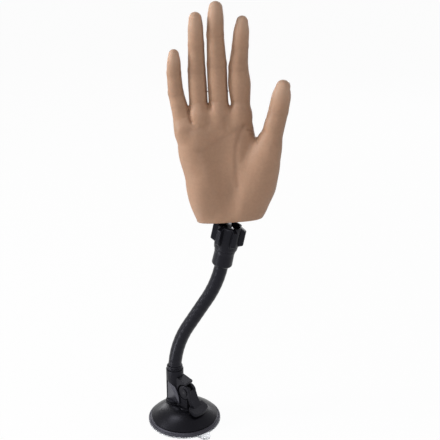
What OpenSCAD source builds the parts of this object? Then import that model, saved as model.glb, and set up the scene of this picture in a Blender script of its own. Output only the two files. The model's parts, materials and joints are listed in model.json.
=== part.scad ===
// Practice hand for nail work: a soft jointed hand on a bendable arm with a suction base.
// Millimetres, Z up, palm towards -Y, thumb towards +X, origin mid underside of the gel pad.

/* [Suction base] */
// Diameter of the gel pad and of the suction cup
pad_d = 70; // [64:1:84]
// Thickness of the clear gel pad
gel_h = 1.2; // [0.8:0.1:2]
// Length of the pull tab beyond the pad's edge
tab_len = 8; // [4:0.5:14]
// Width of the pull tab
tab_w = 10; // [6:0.5:16]
// Direction of the pull tab seen from above
tab_az = -57; // [-90:1:0]
// Edge thickness of the suction cup
cup_edge_h = 1.6; // [0.6:0.1:2]
// Thickness of the suction cup under the dome
cup_h = 3.2; // [2:0.1:4]
// Diameter of the dome cover
dome_d = 64; // [60:0.5:67]
// Height of the dome cover
dome_h = 11.6; // [11:0.2:15]
// Diameter of the flat on top of the dome
dome_top_d = 22; // [18:1:26]
// Wall of the dome cover
dome_wall = 2.6; // [1.4:0.1:2.6]

/* [Tower and lever] */
// Direction of the lever seen from above
lever_az = -41; // [-80:1:-10]
// Distance of the tower's column behind the base centre
column_back = 12; // [11:0.2:14]
// Diameter of the tower's column
column_d = 16.8; // [15.6:0.2:18]
// Height of the column's top above the table
column_top = 51.4; // [50:0.2:58]
// Depth of the arm's seat in the column
seat_depth = 9; // [7:0.2:10]
// Width of the tower's nose between its flat cheeks
nose_w = 10; // [9.6:0.2:12]
// Height of the collar on top of the column
collar_h = 3.8; // [3:0.1:5]
// Diameter of the collar
collar_d = 15.4; // [14:0.1:16.4]
// Distance of the pull stem in front of the base centre
stem_fwd = 4.5; // [3:0.1:5.5]
// Diameter of the pull stem
stem_d = 6; // [5:0.1:6.4]
// Height of the lever's pin above the table
hub_z = 33; // [32:0.2:36]
// Radius of the lever's cams
cam_r = 6; // [5.4:0.1:6.2]
// Offset of the cams from the pin, which lifts the stem
cam_e = 1.2; // [0.8:0.1:1.4]
// Diameter of the lever's pin
pin_d = 3; // [2.4:0.1:3.2]
// Reach of the lever's paddle from the base centre
paddle_reach = 24.5; // [23:0.5:27]
// Width of the lever's paddle
paddle_w = 20; // [14:0.5:22]

/* [Bendable arm] */
// Diameter of the arm's sleeve
neck_d = 12.8; // [12:0.1:13.4]
// Diameter of the bendable core
core_d = 4; // [3:0.1:4.4]
// Direction in which the arm leans, seen from above
neck_az = -10; // [-40:1:40]
// Bend radius of the lower curve
bend_r1 = 99; // [90:0.5:150]
// Lean at the middle of the arm
bend_mid = 31; // [24:0.5:44]
// Straight length between the curves
neck_straight = 34.5; // [8:0.5:44]
// Bend radius of the upper curve
bend_r2 = 113.5; // [90:0.5:140]
// Lean of the arm at its top
bend_top = 11.5; // [4:0.5:16]

/* [Ball joint] */
// Diameter of the ball
ball_d = 12; // [11:0.1:12.6]
// Diameter of the ball stud's neck
stud_neck_d = 5.2; // [4:0.1:5.6]
// Diameter of the ball stud's thread
stud_d = 6; // [5:0.1:6.4]
// Diameter of the socket sleeve
sleeve_d = 19.4; // [18.8:0.1:20.4]
// Height of the socket sleeve below the nut
sleeve_h = 17; // [15:0.2:18]
// Diameter of the lock nut between its fins
nut_d = 22.2; // [21.8:0.1:24]
// Diameter of the lock nut over its fins
nut_fin_d = 30.4; // [28:0.2:33]
// Width of one fin
fin_w = 3.6; // [2.6:0.1:5]
// Number of fins
fin_count = 6; // [4:1:9]

/* [Palm] */
// Height of the wrist cut above the ball centre
wrist_h = 16; // [15.6:0.2:22]
// Thickness of the soft skin over the palm core
skin_wall = 3; // [2.6:0.1:5]
// Wall of the hollow palm core
core_wall = 1.6; // [1.4:0.1:2.4]
// Height of the knuckle bar above the ball centre
bar_z = 96; // [94:0.5:98]

/* [Fingers] */
// Root hinges of index, middle, ring and little finger from the ball centre
finger_roots = [[9.4, 0, 122], [-9.3, 0, 122.8], [-26.2, 0, 121], [-40.6, 0, 108]]; // [-60:0.2:130]
// Phalanx lengths of the index finger
index_lengths = [28.2, 18.4, 24.4]; // [14:0.2:40]
// Phalanx lengths of the middle finger
middle_lengths = [30, 25, 27]; // [14:0.2:40]
// Phalanx lengths of the ring finger
ring_lengths = [26.7, 21.8, 26.6]; // [14:0.2:40]
// Phalanx lengths of the little finger
little_lengths = [20.8, 17.2, 19.8]; // [14:0.2:40]
// Widths of the index finger at its root, two joints and tip
index_widths = [18.2, 16.2, 13.6, 10]; // [9:0.1:20]
// Widths of the middle finger at its root, two joints and tip
middle_widths = [16.8, 16.6, 14.2, 11.2]; // [9:0.1:20]
// Widths of the ring finger at its root, two joints and tip
ring_widths = [15.8, 15, 13.4, 10.6]; // [9:0.1:20]
// Widths of the little finger at its root, two joints and tip
little_widths = [15.2, 13.2, 12, 9.2]; // [9:0.1:20]
// Sideways lean of the index finger's phalanges
index_leans = [-4, 4.4, 3.8]; // [-20:0.2:20]
// Sideways lean of the middle finger's phalanges
middle_leans = [-2.4, -3, 1]; // [-20:0.2:20]
// Sideways lean of the ring finger's phalanges
ring_leans = [-2.6, -0.6, -1.2]; // [-20:0.2:20]
// Sideways lean of the little finger's phalanges
little_leans = [-13, -4, 1]; // [-20:0.2:20]
// Rest curl of the phalanges towards the palm
finger_curls = [2, 5, 8]; // [0:0.5:12]
// Thickness of a finger as a part of its width
finger_flat = 0.92; // [0.88:0.01:1]
// Most bend at root, middle and tip joint
finger_bends = [60, 70, 40]; // [20:1:75]

/* [Thumb] */
// Hinge at the thumb's root from the ball centre
thumb_root = [35.6, -7, 88]; // [-20:0.2:100]
// Phalanx lengths of the thumb
thumb_lengths = [27, 25.6]; // [16:0.2:36]
// Widths of the thumb at its root, joint and tip
thumb_widths = [19, 17.4, 13.2]; // [9:0.1:24]
// Sideways lean of the thumb's phalanges
thumb_leans = [12.6, 9.6]; // [-10:0.2:30]
// Rest curl of the thumb's phalanges
thumb_curls = [0, 3]; // [0:0.5:12]
// Turn of the thumb about its length
thumb_roll = -45; // [-80:1:0]
// Most bend at the thumb's root and joint
thumb_bends = [35, 45]; // [10:1:60]

/* [Bones and nails] */
// Radius of the rounded ends of the bones
ear_r = 2.4; // [2:0.05:2.5]
// Width of a bone
bone_w = 5.6; // [5.2:0.05:5.8]
// Thickness of a bone's tongue
tongue_w = 2.4; // [2:0.05:2.6]
// Diameter of the finger pins
rivet_d = 2; // [1.4:0.05:2.2]
// Length of a nail
nail_len = 13; // [10:0.5:16]
// How far a nail reaches past its fingertip
nail_over = -0.6; // [-1:0.1:6]
// How far the thumb's nail reaches past its tip
thumb_nail_over = 1; // [-1:0.1:6]
// Thickness of a nail
nail_h = 0.7; // [0.5:0.05:1]
// Depth of the slot that holds a nail
nail_slot = 2.4; // [1.5:0.1:3]

/* [Clearances] */
// Radial gap of a running pin in its bore
run_gap = 0.06; // [0.03:0.01:0.1]
// Radial gap of a fixed pin in its bore
fix_gap = 0.02; // [0.01:0.01:0.05]
// Gap between faces that move past each other
move_gap = 0.35; // [0.3:0.05:0.4]
// Gap between a hard piece and the soft skin round it
skin_gap = 0.2; // [0.1:0.05:0.3]

/* [Hidden] */
$fn = 48;
black = [0.07, 0.07, 0.08];
steel = [0.62, 0.63, 0.65];
bone_color = [0.85, 0.82, 0.74];
skin_color = [0.55, 0.36, 0.26];
nail_color = [0.93, 0.9, 0.86];
sides = 20;
palm_sides = 32;
dome_steps = 10;
cup_z = gel_h + cup_h;
dome_rim = 1.2;
dome_top = cup_z + dome_h;
seat_z = dome_top + 0.5;
cam_clear = cam_r + 1.5 * cam_e + move_gap;
stem_top = hub_z - cam_r - cam_e - move_gap;
eye_lap = 1.5;
disc_in = 2.2;
eye_w = 2 * (disc_in - 0.3);
foot_r = 18;
foot_z = gel_h + 1.5;
foot_h = 2;
boss_low = cup_z + 5.4;
stem_boss_d = 17.6;
nose_front = 4;
roof_front = 2;
roof_wall = 2;
roof_drop = 4;
roof_z = hub_z + cam_clear + roof_wall;
hub_w = nose_w + 1.6;
paddle_round = 5;
screw_bite = [13, 7];
// Side window of the tower: how far forward and how far up its arc runs
window_arc = [16, 22];
// Side outline of the lever's neck, from the hub
lever_side = [
    [2, 4.2], [5.6, 2.6], [9, -6], [13.4, -12.4], [13.4, -15.3], [8.4, -13.8], [5.1, -6]
];
screw_x = [-column_back, -4.2];
screw_d = 3;
screw_head_d = 5.6;
screw_head_h = 1.8;
neck_r = neck_d / 2;
neck_z0 = column_top - 3.4;
joint_r = neck_r - 0.9;
bore_r = core_d / 2 + 0.4;
neck_slim = 0.1;
len1 = bend_r1 * bend_mid * PI / 180;
len2 = len1 + neck_straight;
len3 = len2 + bend_r2 * (bend_mid - bend_top) * PI / 180;
hinge_s = [len1 / 2, len1, len2 - 4, (len2 + len3) / 2];
link_bend = 22;
link_lift = 0.6;
link_gap = neck_r * sin(link_bend) - link_lift * cos(link_bend) + 0.4;
ball_r = ball_d / 2;
cup_r = ball_r + 0.3;
ball_up = sleeve_h + 16;
nut_top = ball_up + 8;
lip_up = ball_up + 3.5;
petal_r = sleeve_d / 2 - 0.6;
cavity_r = sqrt(pow(bone_w / 2, 2) + ear_r * ear_r) + move_gap;
bracket_len = 24;
bar_h = 6;
bar_t = 8;
bar_x0 = finger_roots[3][0] - 3;
bar_x1 = finger_roots[0][0] + 4;
bar_screws = [-2, -18];
core_low = wrist_h + 4;
plate_gap = 0.25;
dish_at = [-5, -25.5, 72];
dish_radii = [22, 14.4, 38];
dish_wall = 2.4;
// Palm sections: height, middle, half width, half thickness
palm_rows = [
    [wrist_h, -0.4, 28.2, 17.8], [24, 0.2, 31, 17.6], [31.5, 0.6, 33.4, 17.2], [46.6, -1.8, 36.6, 16.2],
    [61, -5.5, 35.4, 15], [75.7, -10, 35, 14], [90, -12.6, 34, 13], [102, -14.4, 33.4, 11.6],
    [110, -9.6, 27, 9.4], [116.5, -8.4, 25.4, 7.8]
];
core_rows = [24, 31.5, 46.6, 61, 75.7, 90];
// Steps of a fingertip: place along it, and width there as a part of the widths
tip_steps = [[0.3, 0.98], [0.55, 0.97], [0.72, 0.9], [0.85, 0.74], [0.94, 0.52], [1, 0.22]];
column_at = [column_back * cos(lever_az + 180), column_back * sin(lever_az + 180), 0];
ball_at = neck_pos(len3) + ball_up * neck_dir(len3);

// Path of the arm: lower curve, straight, upper curve
function neck_lean(s) =
    s <= len1 ? s / bend_r1 * 180 / PI
    : s <= len2 ? bend_mid
    : bend_mid - (s - len2) / bend_r2 * 180 / PI;
function neck_x(s) =
    s <= len1 ? bend_r1 * (1 - cos(neck_lean(s)))
    : s <= len2 ? neck_x(len1) + (s - len1) * sin(bend_mid)
    : neck_x(len2) + bend_r2 * (cos(neck_lean(s)) - cos(bend_mid));
function neck_z(s) =
    s <= len1 ? bend_r1 * sin(neck_lean(s))
    : s <= len2 ? neck_z(len1) + (s - len1) * cos(bend_mid)
    : neck_z(len2) + bend_r2 * (sin(bend_mid) - sin(neck_lean(s)));
function neck_pos(s) =
    column_at + [neck_x(s) * cos(neck_az), neck_x(s) * sin(neck_az), neck_z0 + neck_z(s)];
function neck_dir(s) =
    [sin(neck_lean(s)) * cos(neck_az), sin(neck_lean(s)) * sin(neck_az), cos(neck_lean(s))];

module at_neck(s) {
    translate(neck_pos(s)) rotate([0, neck_lean(s), neck_az]) children();
}

module at_lever() {
    rotate([0, 0, lever_az]) children();
}

// Tube or rod that bends towards +X from a start along +Z
module bend(radius, angle, outer, inner) {
    translate([radius, 0, 0]) rotate([90, 0, 180]) rotate_extrude(angle = angle, $fn = 96)
        translate([radius, 0]) ring2d(outer, inner);
}

module ring2d(outer, inner) {
    difference() {
        circle(outer);
        if (inner > 0) circle(inner);
    }
}

module neck_part(s0, s1, outer, inner) {
    if (s0 < len1)
        at_neck(s0) bend(bend_r1, neck_lean(min(s1, len1)) - neck_lean(s0), outer, inner);
    if (s0 < len2 && s1 > len1)
        at_neck(max(s0, len1)) linear_extrude(min(s1, len2 + 1) - max(s0, len1)) ring2d(outer, inner);
    slim = s0 < len2 ? neck_slim : 0;
    if (s1 > len2)
        at_neck(max(s0, len2)) rotate([0, 0, 180]) bend(
            bend_r2, neck_lean(max(s0, len2)) - neck_lean(s1),
            outer - slim, inner > 0 ? inner + slim : 0
        );
}

// One link of the arm: a cup at its lower end and a ball at its upper end
module arm_link(s0, s1, cup, ball) {
    difference() {
        union() {
            neck_part(cup ? s0 + link_lift : s0, ball ? s1 - link_gap : s1, neck_r, bore_r);
            if (ball) at_neck(s1) sphere(joint_r);
        }
        if (cup) translate(neck_pos(s0)) sphere(joint_r + 0.3);
        if (ball) at_neck(s1) translate([0, 0, -neck_r - 1]) cylinder(r = bore_r, h = 2 * neck_r + 2);
    }
}

// Frames of the hand
function spin(lean, curl) = [sin(lean) * cos(curl), -sin(curl), cos(lean) * cos(curl)];
function mix(a, b, t) = a + (b - a) * t;
function chain(root, lengths, leans, curls, n) =
    n == 0 ? root
    : chain(root, lengths, leans, curls, n - 1) + lengths[n - 1] * spin(leans[n - 1], curls[n - 1]);

// A finger: hinge points, leans, curls, lengths, widths, turn, bends
function finger(root, lengths, leans, curls, widths, roll, bends) = [
    [for (i = [0:len(lengths)]) ball_at + chain(root, lengths, leans, curls, i)],
    leans, curls, lengths, widths, roll, bends
];
function long_finger(k, lengths, leans, widths) =
    finger(finger_roots[k], lengths, leans, finger_curls, widths, 0, finger_bends);
index = long_finger(0, index_lengths, index_leans, index_widths);
middle = long_finger(1, middle_lengths, middle_leans, middle_widths);
ring = long_finger(2, ring_lengths, ring_leans, ring_widths);
little = long_finger(3, little_lengths, little_leans, little_widths);
thumb = finger(thumb_root, thumb_lengths, thumb_leans, thumb_curls, thumb_widths, thumb_roll, thumb_bends);
fingers = [index, middle, ring, little, thumb];

function axis_z(f, i) = spin(f[1][i], f[2][i]);
function axis_x(f, i) =
    let (l = f[1][i], c = f[2][i], r = f[5])
    [
        cos(l) * cos(r) + sin(l) * sin(c) * sin(r),
        cos(c) * sin(r),
        -sin(l) * cos(r) + cos(l) * sin(c) * sin(r)
    ];
function axis_y(f, i) = cross(axis_z(f, i), axis_x(f, i));

module at_joint(f, i) {
    translate(f[0][i]) rotate([0, f[1][i], 0]) rotate([f[2][i], 0, 0]) rotate([0, 0, f[5]]) children();
}

// Ring of points round joint i; side +1 starts a phalanx, -1 ends one and leaves room to bend
function joint_ring(f, i, rx, ry, side) = [
    for (k = [0:sides - 1])
        let (a = 360 * k / sides, y = ry * sin(a))
        f[0][i] + axis_x(f, i) * rx * cos(a) + axis_y(f, i) * y
        + axis_z(f, i) * side * (move_gap / 2 + max(0, -y) * tan(f[6][i] / 2 + 0.5))
];
// Ring of points part of the way along phalanx i
function plain_ring(f, i, t, rx, ry, lift) = [
    for (k = [0:sides - 1])
        let (a = 360 * k / sides)
        f[0][i] + axis_z(f, i) * f[3][i] * t
        + axis_x(f, i) * rx * cos(a) + axis_y(f, i) * (ry * sin(a) + lift)
];

function band(i, j, n) = [
    for (k = [0:n - 1]) each let (m = (k + 1) % n)
        [[i * n + k, j * n + k, j * n + m], [i * n + k, j * n + m, i * n + m]]
];

// Closed skin over a list of rings; looped joins the last ring to the first
module loft(rings, looped) {
    n = len(rings[0]);
    last = len(rings) - 1;
    walls = [for (i = [0:last - 1]) each band(i, i + 1, n)];
    ends = looped ? band(last, 0, n)
        : [[for (k = [0:n - 1]) k], [for (k = [0:n - 1]) last * n + n - 1 - k]];
    polyhedron(points = [for (r = rings) each r], faces = concat(walls, ends));
}

// Joins soft shapes into one plain faceted body of unchanged size
module soft() {
    resize([0, 0, 0]) children();
}

// Skin of one middle phalanx: a tube with room for the bone
module phalanx_skin(f, i) {
    w0 = f[4][i] / 2;
    w1 = f[4][i + 1] / 2;
    loft([
        joint_ring(f, i, w0, w0 * finger_flat, 1),
        joint_ring(f, i + 1, w1, w1 * finger_flat, -1),
        joint_ring(f, i + 1, cavity_r, cavity_r, -1),
        joint_ring(f, i, cavity_r, cavity_r, 1)
    ], true);
}

function tip_bone_len(f, i) = min(0.5 * f[3][i], 12);

module tip_skin(f, i) {
    w0 = f[4][i] / 2;
    w1 = f[4][i + 1] / 2;
    bone_t = (tip_bone_len(f, i) + 0.4) / f[3][i];
    difference() {
        loft(concat(
            [
                plain_ring(f, i, bone_t, cavity_r, cavity_r, 0),
                joint_ring(f, i, cavity_r, cavity_r, 1),
                joint_ring(f, i, w0, w0 * finger_flat, 1)
            ],
            [for (s = tip_steps) let (w = mix(w0, w1, s[0]) * s[1])
                plain_ring(f, i, s[0], w, w * finger_flat, 0)]
        ), false);
        at_joint(f, i) nail_room(f, i);
    }
}

// Nails: plates curved about the finger's length
function nail_r(f, i) = mix(f[4][i], f[4][i + 1], 0.7) / 2 * 0.93;
function nail_z(f, i) = f[3][i] - nail_len + (f[5] == 0 ? nail_over : thumb_nail_over);

module nail_room(f, i) {
    r = nail_r(f, i);
    z0 = nail_z(f, i);
    translate([0, 0, z0 - 0.2]) nail_band(r - move_gap, r + nail_h + move_gap, nail_len + 20, r);
    translate([0, 0, z0 + nail_slot]) nail_band(r - move_gap, r + 6, nail_len + 20, r);
}

module nail_band(r0, r1, length, r) {
    intersection() {
        difference() {
            cylinder(r = r1, h = length);
            translate([0, 0, -1]) cylinder(r = r0, h = length + 2);
        }
        translate([-0.88 * r - move_gap, 0.3 * r, -1]) cube([1.76 * r + 2 * move_gap, 3 * r, length + 2]);
    }
}

module nail(f, i) {
    r = nail_r(f, i);
    at_joint(f, i) translate([0, 0, nail_z(f, i)]) intersection() {
        difference() {
            cylinder(r = r + nail_h, h = nail_len);
            translate([0, 0, -1]) cylinder(r = r, h = nail_len + 2);
        }
        translate([-0.88 * r, 0.3 * r + move_gap, -1]) cube([1.76 * r, 3 * r, nail_len + 2]);
    }
}

// Bones: a tongue at the near hinge, a fork at the far one
module along_x(r, w) {
    rotate([0, 90, 0]) cylinder(r = r, h = w, center = true);
}

module tongue(reach) {
    difference() {
        union() {
            along_x(ear_r, tongue_w);
            translate([-tongue_w / 2, -ear_r, 0]) cube([tongue_w, 2 * ear_r, reach]);
        }
        along_x(rivet_d / 2 + run_gap, 2 * tongue_w);
    }
}

module fork(reach) {
    difference() {
        union() {
            along_x(ear_r, bone_w);
            translate([-bone_w / 2, -ear_r, -reach]) cube([bone_w, 2 * ear_r, reach]);
        }
        along_x(rivet_d / 2 + fix_gap, 2 * bone_w);
        slot = tongue_w + 2 * move_gap;
        translate([-slot / 2, -2 * ear_r, -ear_r - 0.6]) cube([slot, 4 * ear_r, 3 * ear_r]);
    }
}

module rivet(f, i) {
    at_joint(f, i) along_x(rivet_d / 2, bone_w);
}

module shank(z0, z1) {
    translate([-bone_w / 2, -ear_r, z0]) cube([bone_w, 2 * ear_r, z1 - z0]);
}

module bone(f, i) {
    l = f[3][i];
    at_joint(f, i) tongue(5);
    at_joint(f, i) shank(4, l - 4.4);
    at_joint(f, i + 1) fork(5.4);
    rivet(f, i + 1);
}

module tip_bone(f, i) {
    at_joint(f, i) tongue(5);
    at_joint(f, i) shank(4, tip_bone_len(f, i));
}

function palm_mid(z) = [lookup(z, [for (r = palm_rows) [r[0], r[1]]]), 0, z];
function palm_ring(z, inset) = [
    for (k = [0:palm_sides - 1])
        let (
            a = 360 * k / palm_sides,
            c = cos(a),
            s = sin(a),
            w = lookup(z, [for (r = palm_rows) [r[0], r[2]]]) - inset,
            t = lookup(z, [for (r = palm_rows) [r[0], r[3]]]) - inset
        )
        ball_at + palm_mid(z) + [w * sign(c) * pow(abs(c), 0.8), t * sign(s) * pow(abs(s), 0.8), 0]
];

module palm_body(levels, inset) {
    loft([for (z = levels) palm_ring(z, inset)], false);
}

// Root of a finger: from inside the palm to its hinge
module root_stub(f, depth, grow) {
    w = f[4][0] / 2;
    loft([
        plain_ring(f, 0, -depth / f[3][0], w + grow, (w + grow) * finger_flat, 0),
        joint_ring(f, 0, w, w * finger_flat, -1)
    ], false);
}

module thumb_mound() {
    hull() {
        translate(ball_at + [16, -5, 36]) scale([1, 0.8, 1]) sphere(r = 18, $fn = 24);
        translate(ball_at + [29.6, -6, 66]) scale([1, 0.9, 1]) sphere(r = 14.4, $fn = 24);
    }
    hull() {
        translate(ball_at + [29.6, -6, 66]) scale([1, 0.9, 1]) sphere(r = 14.4, $fn = 24);
        root_stub(thumb, 3, 0.6);
    }
}

// Heel of the palm below the little finger
module heel_mound() {
    hull() {
        translate(ball_at + [-22, -5, 46]) scale([1, 0.86, 1.5]) sphere(r = 14.4, $fn = 24);
        translate(ball_at + [-29.4, -3.6, 82]) scale([1, 0.76, 1.2]) sphere(r = 14, $fn = 24);
    }
}

// Hollow of the palm; grow moves its wall inwards for the layers below the skin
module palm_dish(grow) {
    translate(ball_at + dish_at) scale([for (r = dish_radii) r + grow]) sphere(r = 1, $fn = 32);
}

// Room beside the ring finger for the bent little finger
module little_room() {
    drop = 20 * tan(little[6][0] / 2 + 0.5);
    low = move_gap / 2;
    at_joint(little, 0) translate([little[4][0] / 2 + move_gap - 30, 0, 0]) rotate([90, 0, 90])
        linear_extrude(30) polygon([[20, low], [0, low], [-20, low - drop], [-20, 30], [20, 30]]);
}

module knuckle_room() {
    for (f = [index, middle, ring, little]) at_joint(f, 0) {
        translate([0, 0, -(f[0][0][2] - ball_at[2] - bar_z)]) cylinder(r = cavity_r, h = 40, $fn = 24);
    }
    bar_block(skin_gap);
    for (x = bar_screws) translate(ball_at + [x, 0, bar_z + bar_h])
        cylinder(d = screw_head_d + 2 * skin_gap, h = screw_head_h + skin_gap, $fn = 24);
    little_room();
    at_joint(thumb, 0) translate([0, 0, -bracket_len - 0.4]) cylinder(r = cavity_r, h = 60, $fn = 24);
}

module bar_block(gap) {
    translate(ball_at + [bar_x0 - gap, -bar_t / 2 - gap, bar_z - gap])
        cube([bar_x1 - bar_x0 + 2 * gap, bar_t + 2 * gap, bar_h + 2 * gap]);
}

module gel_pad() color([0.8, 0.86, 0.9, 0.6]) {
    cylinder(d = pad_d, h = gel_h, $fn = 96);
    rotate([0, 0, tab_az]) {
        translate([pad_d / 2 - 3, -tab_w / 2, 0]) cube([tab_len + 3 - tab_w / 2, tab_w, gel_h]);
        translate([pad_d / 2 + tab_len - tab_w / 2, 0, 0]) cylinder(d = tab_w, h = gel_h);
    }
}

module suction_cup() color(black) difference() {
    union() {
        rotate_extrude($fn = 96) polygon([
            [0, gel_h], [pad_d / 2, gel_h], [pad_d / 2, gel_h + cup_edge_h],
            [dome_d / 2 + 0.4, cup_z], [0, cup_z]
        ]);
        at_lever() translate([stem_fwd, 0, gel_h]) cylinder(r = foot_r + 2, h = cup_h + 2.6);
    }
    at_lever() translate([stem_fwd, 0, foot_z - 0.1]) cylinder(r = foot_r + 0.2, h = foot_h + 0.2);
    at_lever() translate([stem_fwd, 0, foot_z]) cylinder(d = stem_d + 2 * move_gap, h = 20);
}

function dome_arc(r_out, z_low, r_in, z_top) = [
    for (k = [0:dome_steps]) let (t = k / dome_steps)
        [mix(r_out, r_in, t), mix(z_low, z_top, sin(90 * t))]
];

module dome_cover() color([0.03, 0.03, 0.035]) difference() {
    union() {
        rotate_extrude($fn = 96) polygon(concat(
            [[dome_d / 2, cup_z]],
            dome_arc(dome_d / 2, cup_z + dome_rim, dome_top_d / 2, dome_top),
            [[0, dome_top], [0, dome_top - dome_wall]],
            [for (k = [dome_steps:-1:0]) dome_arc(dome_d / 2 - dome_wall, cup_z,
                dome_top_d / 2 - dome_wall / 2, dome_top - dome_wall)[k]]
        ));
        at_lever() translate([-column_back, 0, boss_low])
            cylinder(d = column_d + 2.2, h = seat_z - boss_low);
        at_lever() translate([stem_fwd, 0, boss_low]) cylinder(d = stem_boss_d, h = seat_z - boss_low);
        at_lever() translate([-column_back, -nose_w / 2 - 0.6, boss_low])
            cube([column_back + stem_fwd, nose_w + 1.2, seat_z - boss_low]);
    }
    at_lever() translate([stem_fwd, 0, 0]) cylinder(d = stem_d + 2 * move_gap, h = 40);
    at_lever() for (x = screw_x) translate([x, 0, 0]) cylinder(d = screw_d + 0.2, h = 40);
}

module tower() color(black) at_lever() difference() {
    union() {
        translate([-column_back, 0, seat_z]) cylinder(d = column_d, h = column_top - seat_z);
        translate([0, nose_w / 2, 0]) rotate([90, 0, 0]) linear_extrude(nose_w) polygon([
            [-column_back, seat_z], [stem_fwd + nose_front, seat_z], [stem_fwd + nose_front, hub_z],
            [stem_fwd + roof_front, hub_z], [stem_fwd + roof_front, roof_z],
            [-column_back, roof_z + roof_drop]
        ]);
    }
    translate([-column_back, 0, column_top - seat_depth]) cylinder(r = neck_r + 0.05, h = 40);
    translate([stem_fwd, 0, hub_z]) rotate([90, 0, 0]) cylinder(r = cam_clear, h = 40, center = true);
    translate([stem_fwd, 0, 0]) cylinder(d = stem_d + 2 * move_gap, h = hub_z);
    for (k = [0, 1]) translate([screw_x[k], 0, 0])
        cylinder(d = screw_d + 2 * fix_gap, h = seat_z + screw_bite[k] + 1);
    for (m = [0, 1]) mirror([0, m, 0]) translate([0, nose_w / 2, 0]) rotate([90, 0, 0])
        translate([-column_back - 4.6, seat_z + 2, -10]) linear_extrude(10) polygon(concat(
            [[0, 0]],
            [for (k = [0:8]) [window_arc[0] * cos(90 * k / 8), window_arc[1] * sin(90 * k / 8)]]
        ));
}

module tower_screws() color(steel) at_lever() for (k = [0, 1]) translate([screw_x[k], 0, 0]) {
    translate([0, 0, boss_low - screw_head_h]) cylinder(d = screw_head_d, h = screw_head_h);
    translate([0, 0, boss_low - 1]) cylinder(d = screw_d, h = seat_z + screw_bite[k] - boss_low + 1);
}

module collar() color(black) translate(column_at + [0, 0, column_top]) difference() {
    union() {
        cylinder(d = collar_d, h = collar_h - 1);
        translate([0, 0, collar_h - 1]) cylinder(d1 = collar_d, d2 = collar_d - 1.6, h = 1);
    }
    translate([0, 0, -1]) cylinder(r = neck_r + move_gap, h = collar_h + 2);
}

module arm_core() color(steel) {
    translate(column_at + [0, 0, column_top - seat_depth + 0.5])
        cylinder(d = core_d, h = neck_z0 - column_top + seat_depth + 0.5);
    neck_part(0, len1, core_d / 2 - 0.1, 0);
    at_neck(len1) translate([0, 0, -1]) cylinder(d = core_d, h = neck_straight + 2);
    neck_part(len2, len3, core_d / 2 - 0.1, 0);
    at_neck(len3) translate([0, 0, -1]) cylinder(d = core_d, h = 10);
}

module arm_1() color(black) {
    arm_link(0, hinge_s[0], false, true);
    translate(column_at + [0, 0, column_top - seat_depth])
        linear_extrude(neck_z0 - column_top + seat_depth + 1.5)
            ring2d(neck_r - neck_slim, bore_r + neck_slim);
}

module arm_2() color(black) arm_link(hinge_s[0], hinge_s[1], true, true);
module arm_3() color(black) arm_link(hinge_s[1], hinge_s[2], true, true);
module arm_4() color(black) arm_link(hinge_s[2], hinge_s[3], true, true);
module arm_5() color(black) {
    arm_link(hinge_s[3], len3, true, false);
    at_neck(len3) translate([0, 0, -1.5]) linear_extrude(12.5) ring2d(neck_r - 0.3, bore_r + 0.2);
}

module pull_stem() color(steel) at_lever() translate([stem_fwd, 0, 0]) difference() {
    union() {
        translate([0, 0, foot_z]) cylinder(r = foot_r, h = foot_h);
        translate([0, 0, foot_z]) cylinder(d = stem_d, h = stem_top - foot_z);
        translate([-stem_d / 2 + 0.4, -eye_w / 2, stem_top - eye_lap])
            cube([stem_d - 0.8, eye_w, hub_z - stem_top + eye_lap]);
        translate([0, 0, hub_z]) rotate([90, 0, 0]) cylinder(r = pin_d / 2 + 2, h = eye_w, center = true);
    }
    translate([0, 0, hub_z]) rotate([90, 0, 0]) cylinder(r = pin_d / 2 + fix_gap, h = 20, center = true);
}

module lever_pin() color(steel) at_lever() translate([stem_fwd, 0, hub_z])
    rotate([90, 0, 0]) cylinder(d = pin_d, h = hub_w, center = true);

function paddle_corner(side) = [paddle_reach - paddle_round, side * (paddle_w / 2 - paddle_round)];

module lever() color(black) at_lever() difference() {
    union() {
        translate([stem_fwd, 0, hub_z - cam_e]) rotate([90, 0, 0])
            cylinder(r = cam_r, h = nose_w, center = true);
        translate([stem_fwd, 0, hub_z]) rotate([90, 0, 0])
            cylinder(r = pin_d / 2 + 2.2, h = hub_w, center = true);
        translate([stem_fwd, nose_w / 2, hub_z]) rotate([90, 0, 0])
            linear_extrude(nose_w) polygon(lever_side);
        intersection() {
            translate([0, paddle_w / 2, 0]) rotate([90, 0, 0]) linear_extrude(paddle_w) polygon([
                [13, hub_z - 12], [14.4, hub_z - 11.2], [paddle_reach + 1, hub_z - 15.9],
                [paddle_reach + 1, hub_z - 18.6], [13, hub_z - 14.6]
            ]);
            linear_extrude(60) polygon(concat(
                [[12, -nose_w / 2], [15, 0.6 - paddle_w / 2]],
                [for (a = [-90:18:0]) paddle_corner(-1) + paddle_round * [cos(a), sin(a)]],
                [for (a = [0:18:90]) paddle_corner(1) + paddle_round * [cos(a), sin(a)]],
                [[15, paddle_w / 2 - 0.6], [12, nose_w / 2]]
            ));
            cylinder(r = paddle_reach, h = 60, $fn = 96);
        }
    }
    translate([stem_fwd - 10, -disc_in, hub_z - 30]) cube([15.6, 2 * disc_in, 60]);
    translate([stem_fwd, 0, hub_z]) rotate([90, 0, 0])
        cylinder(r = pin_d / 2 + run_gap, h = 20, center = true);
}

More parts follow.
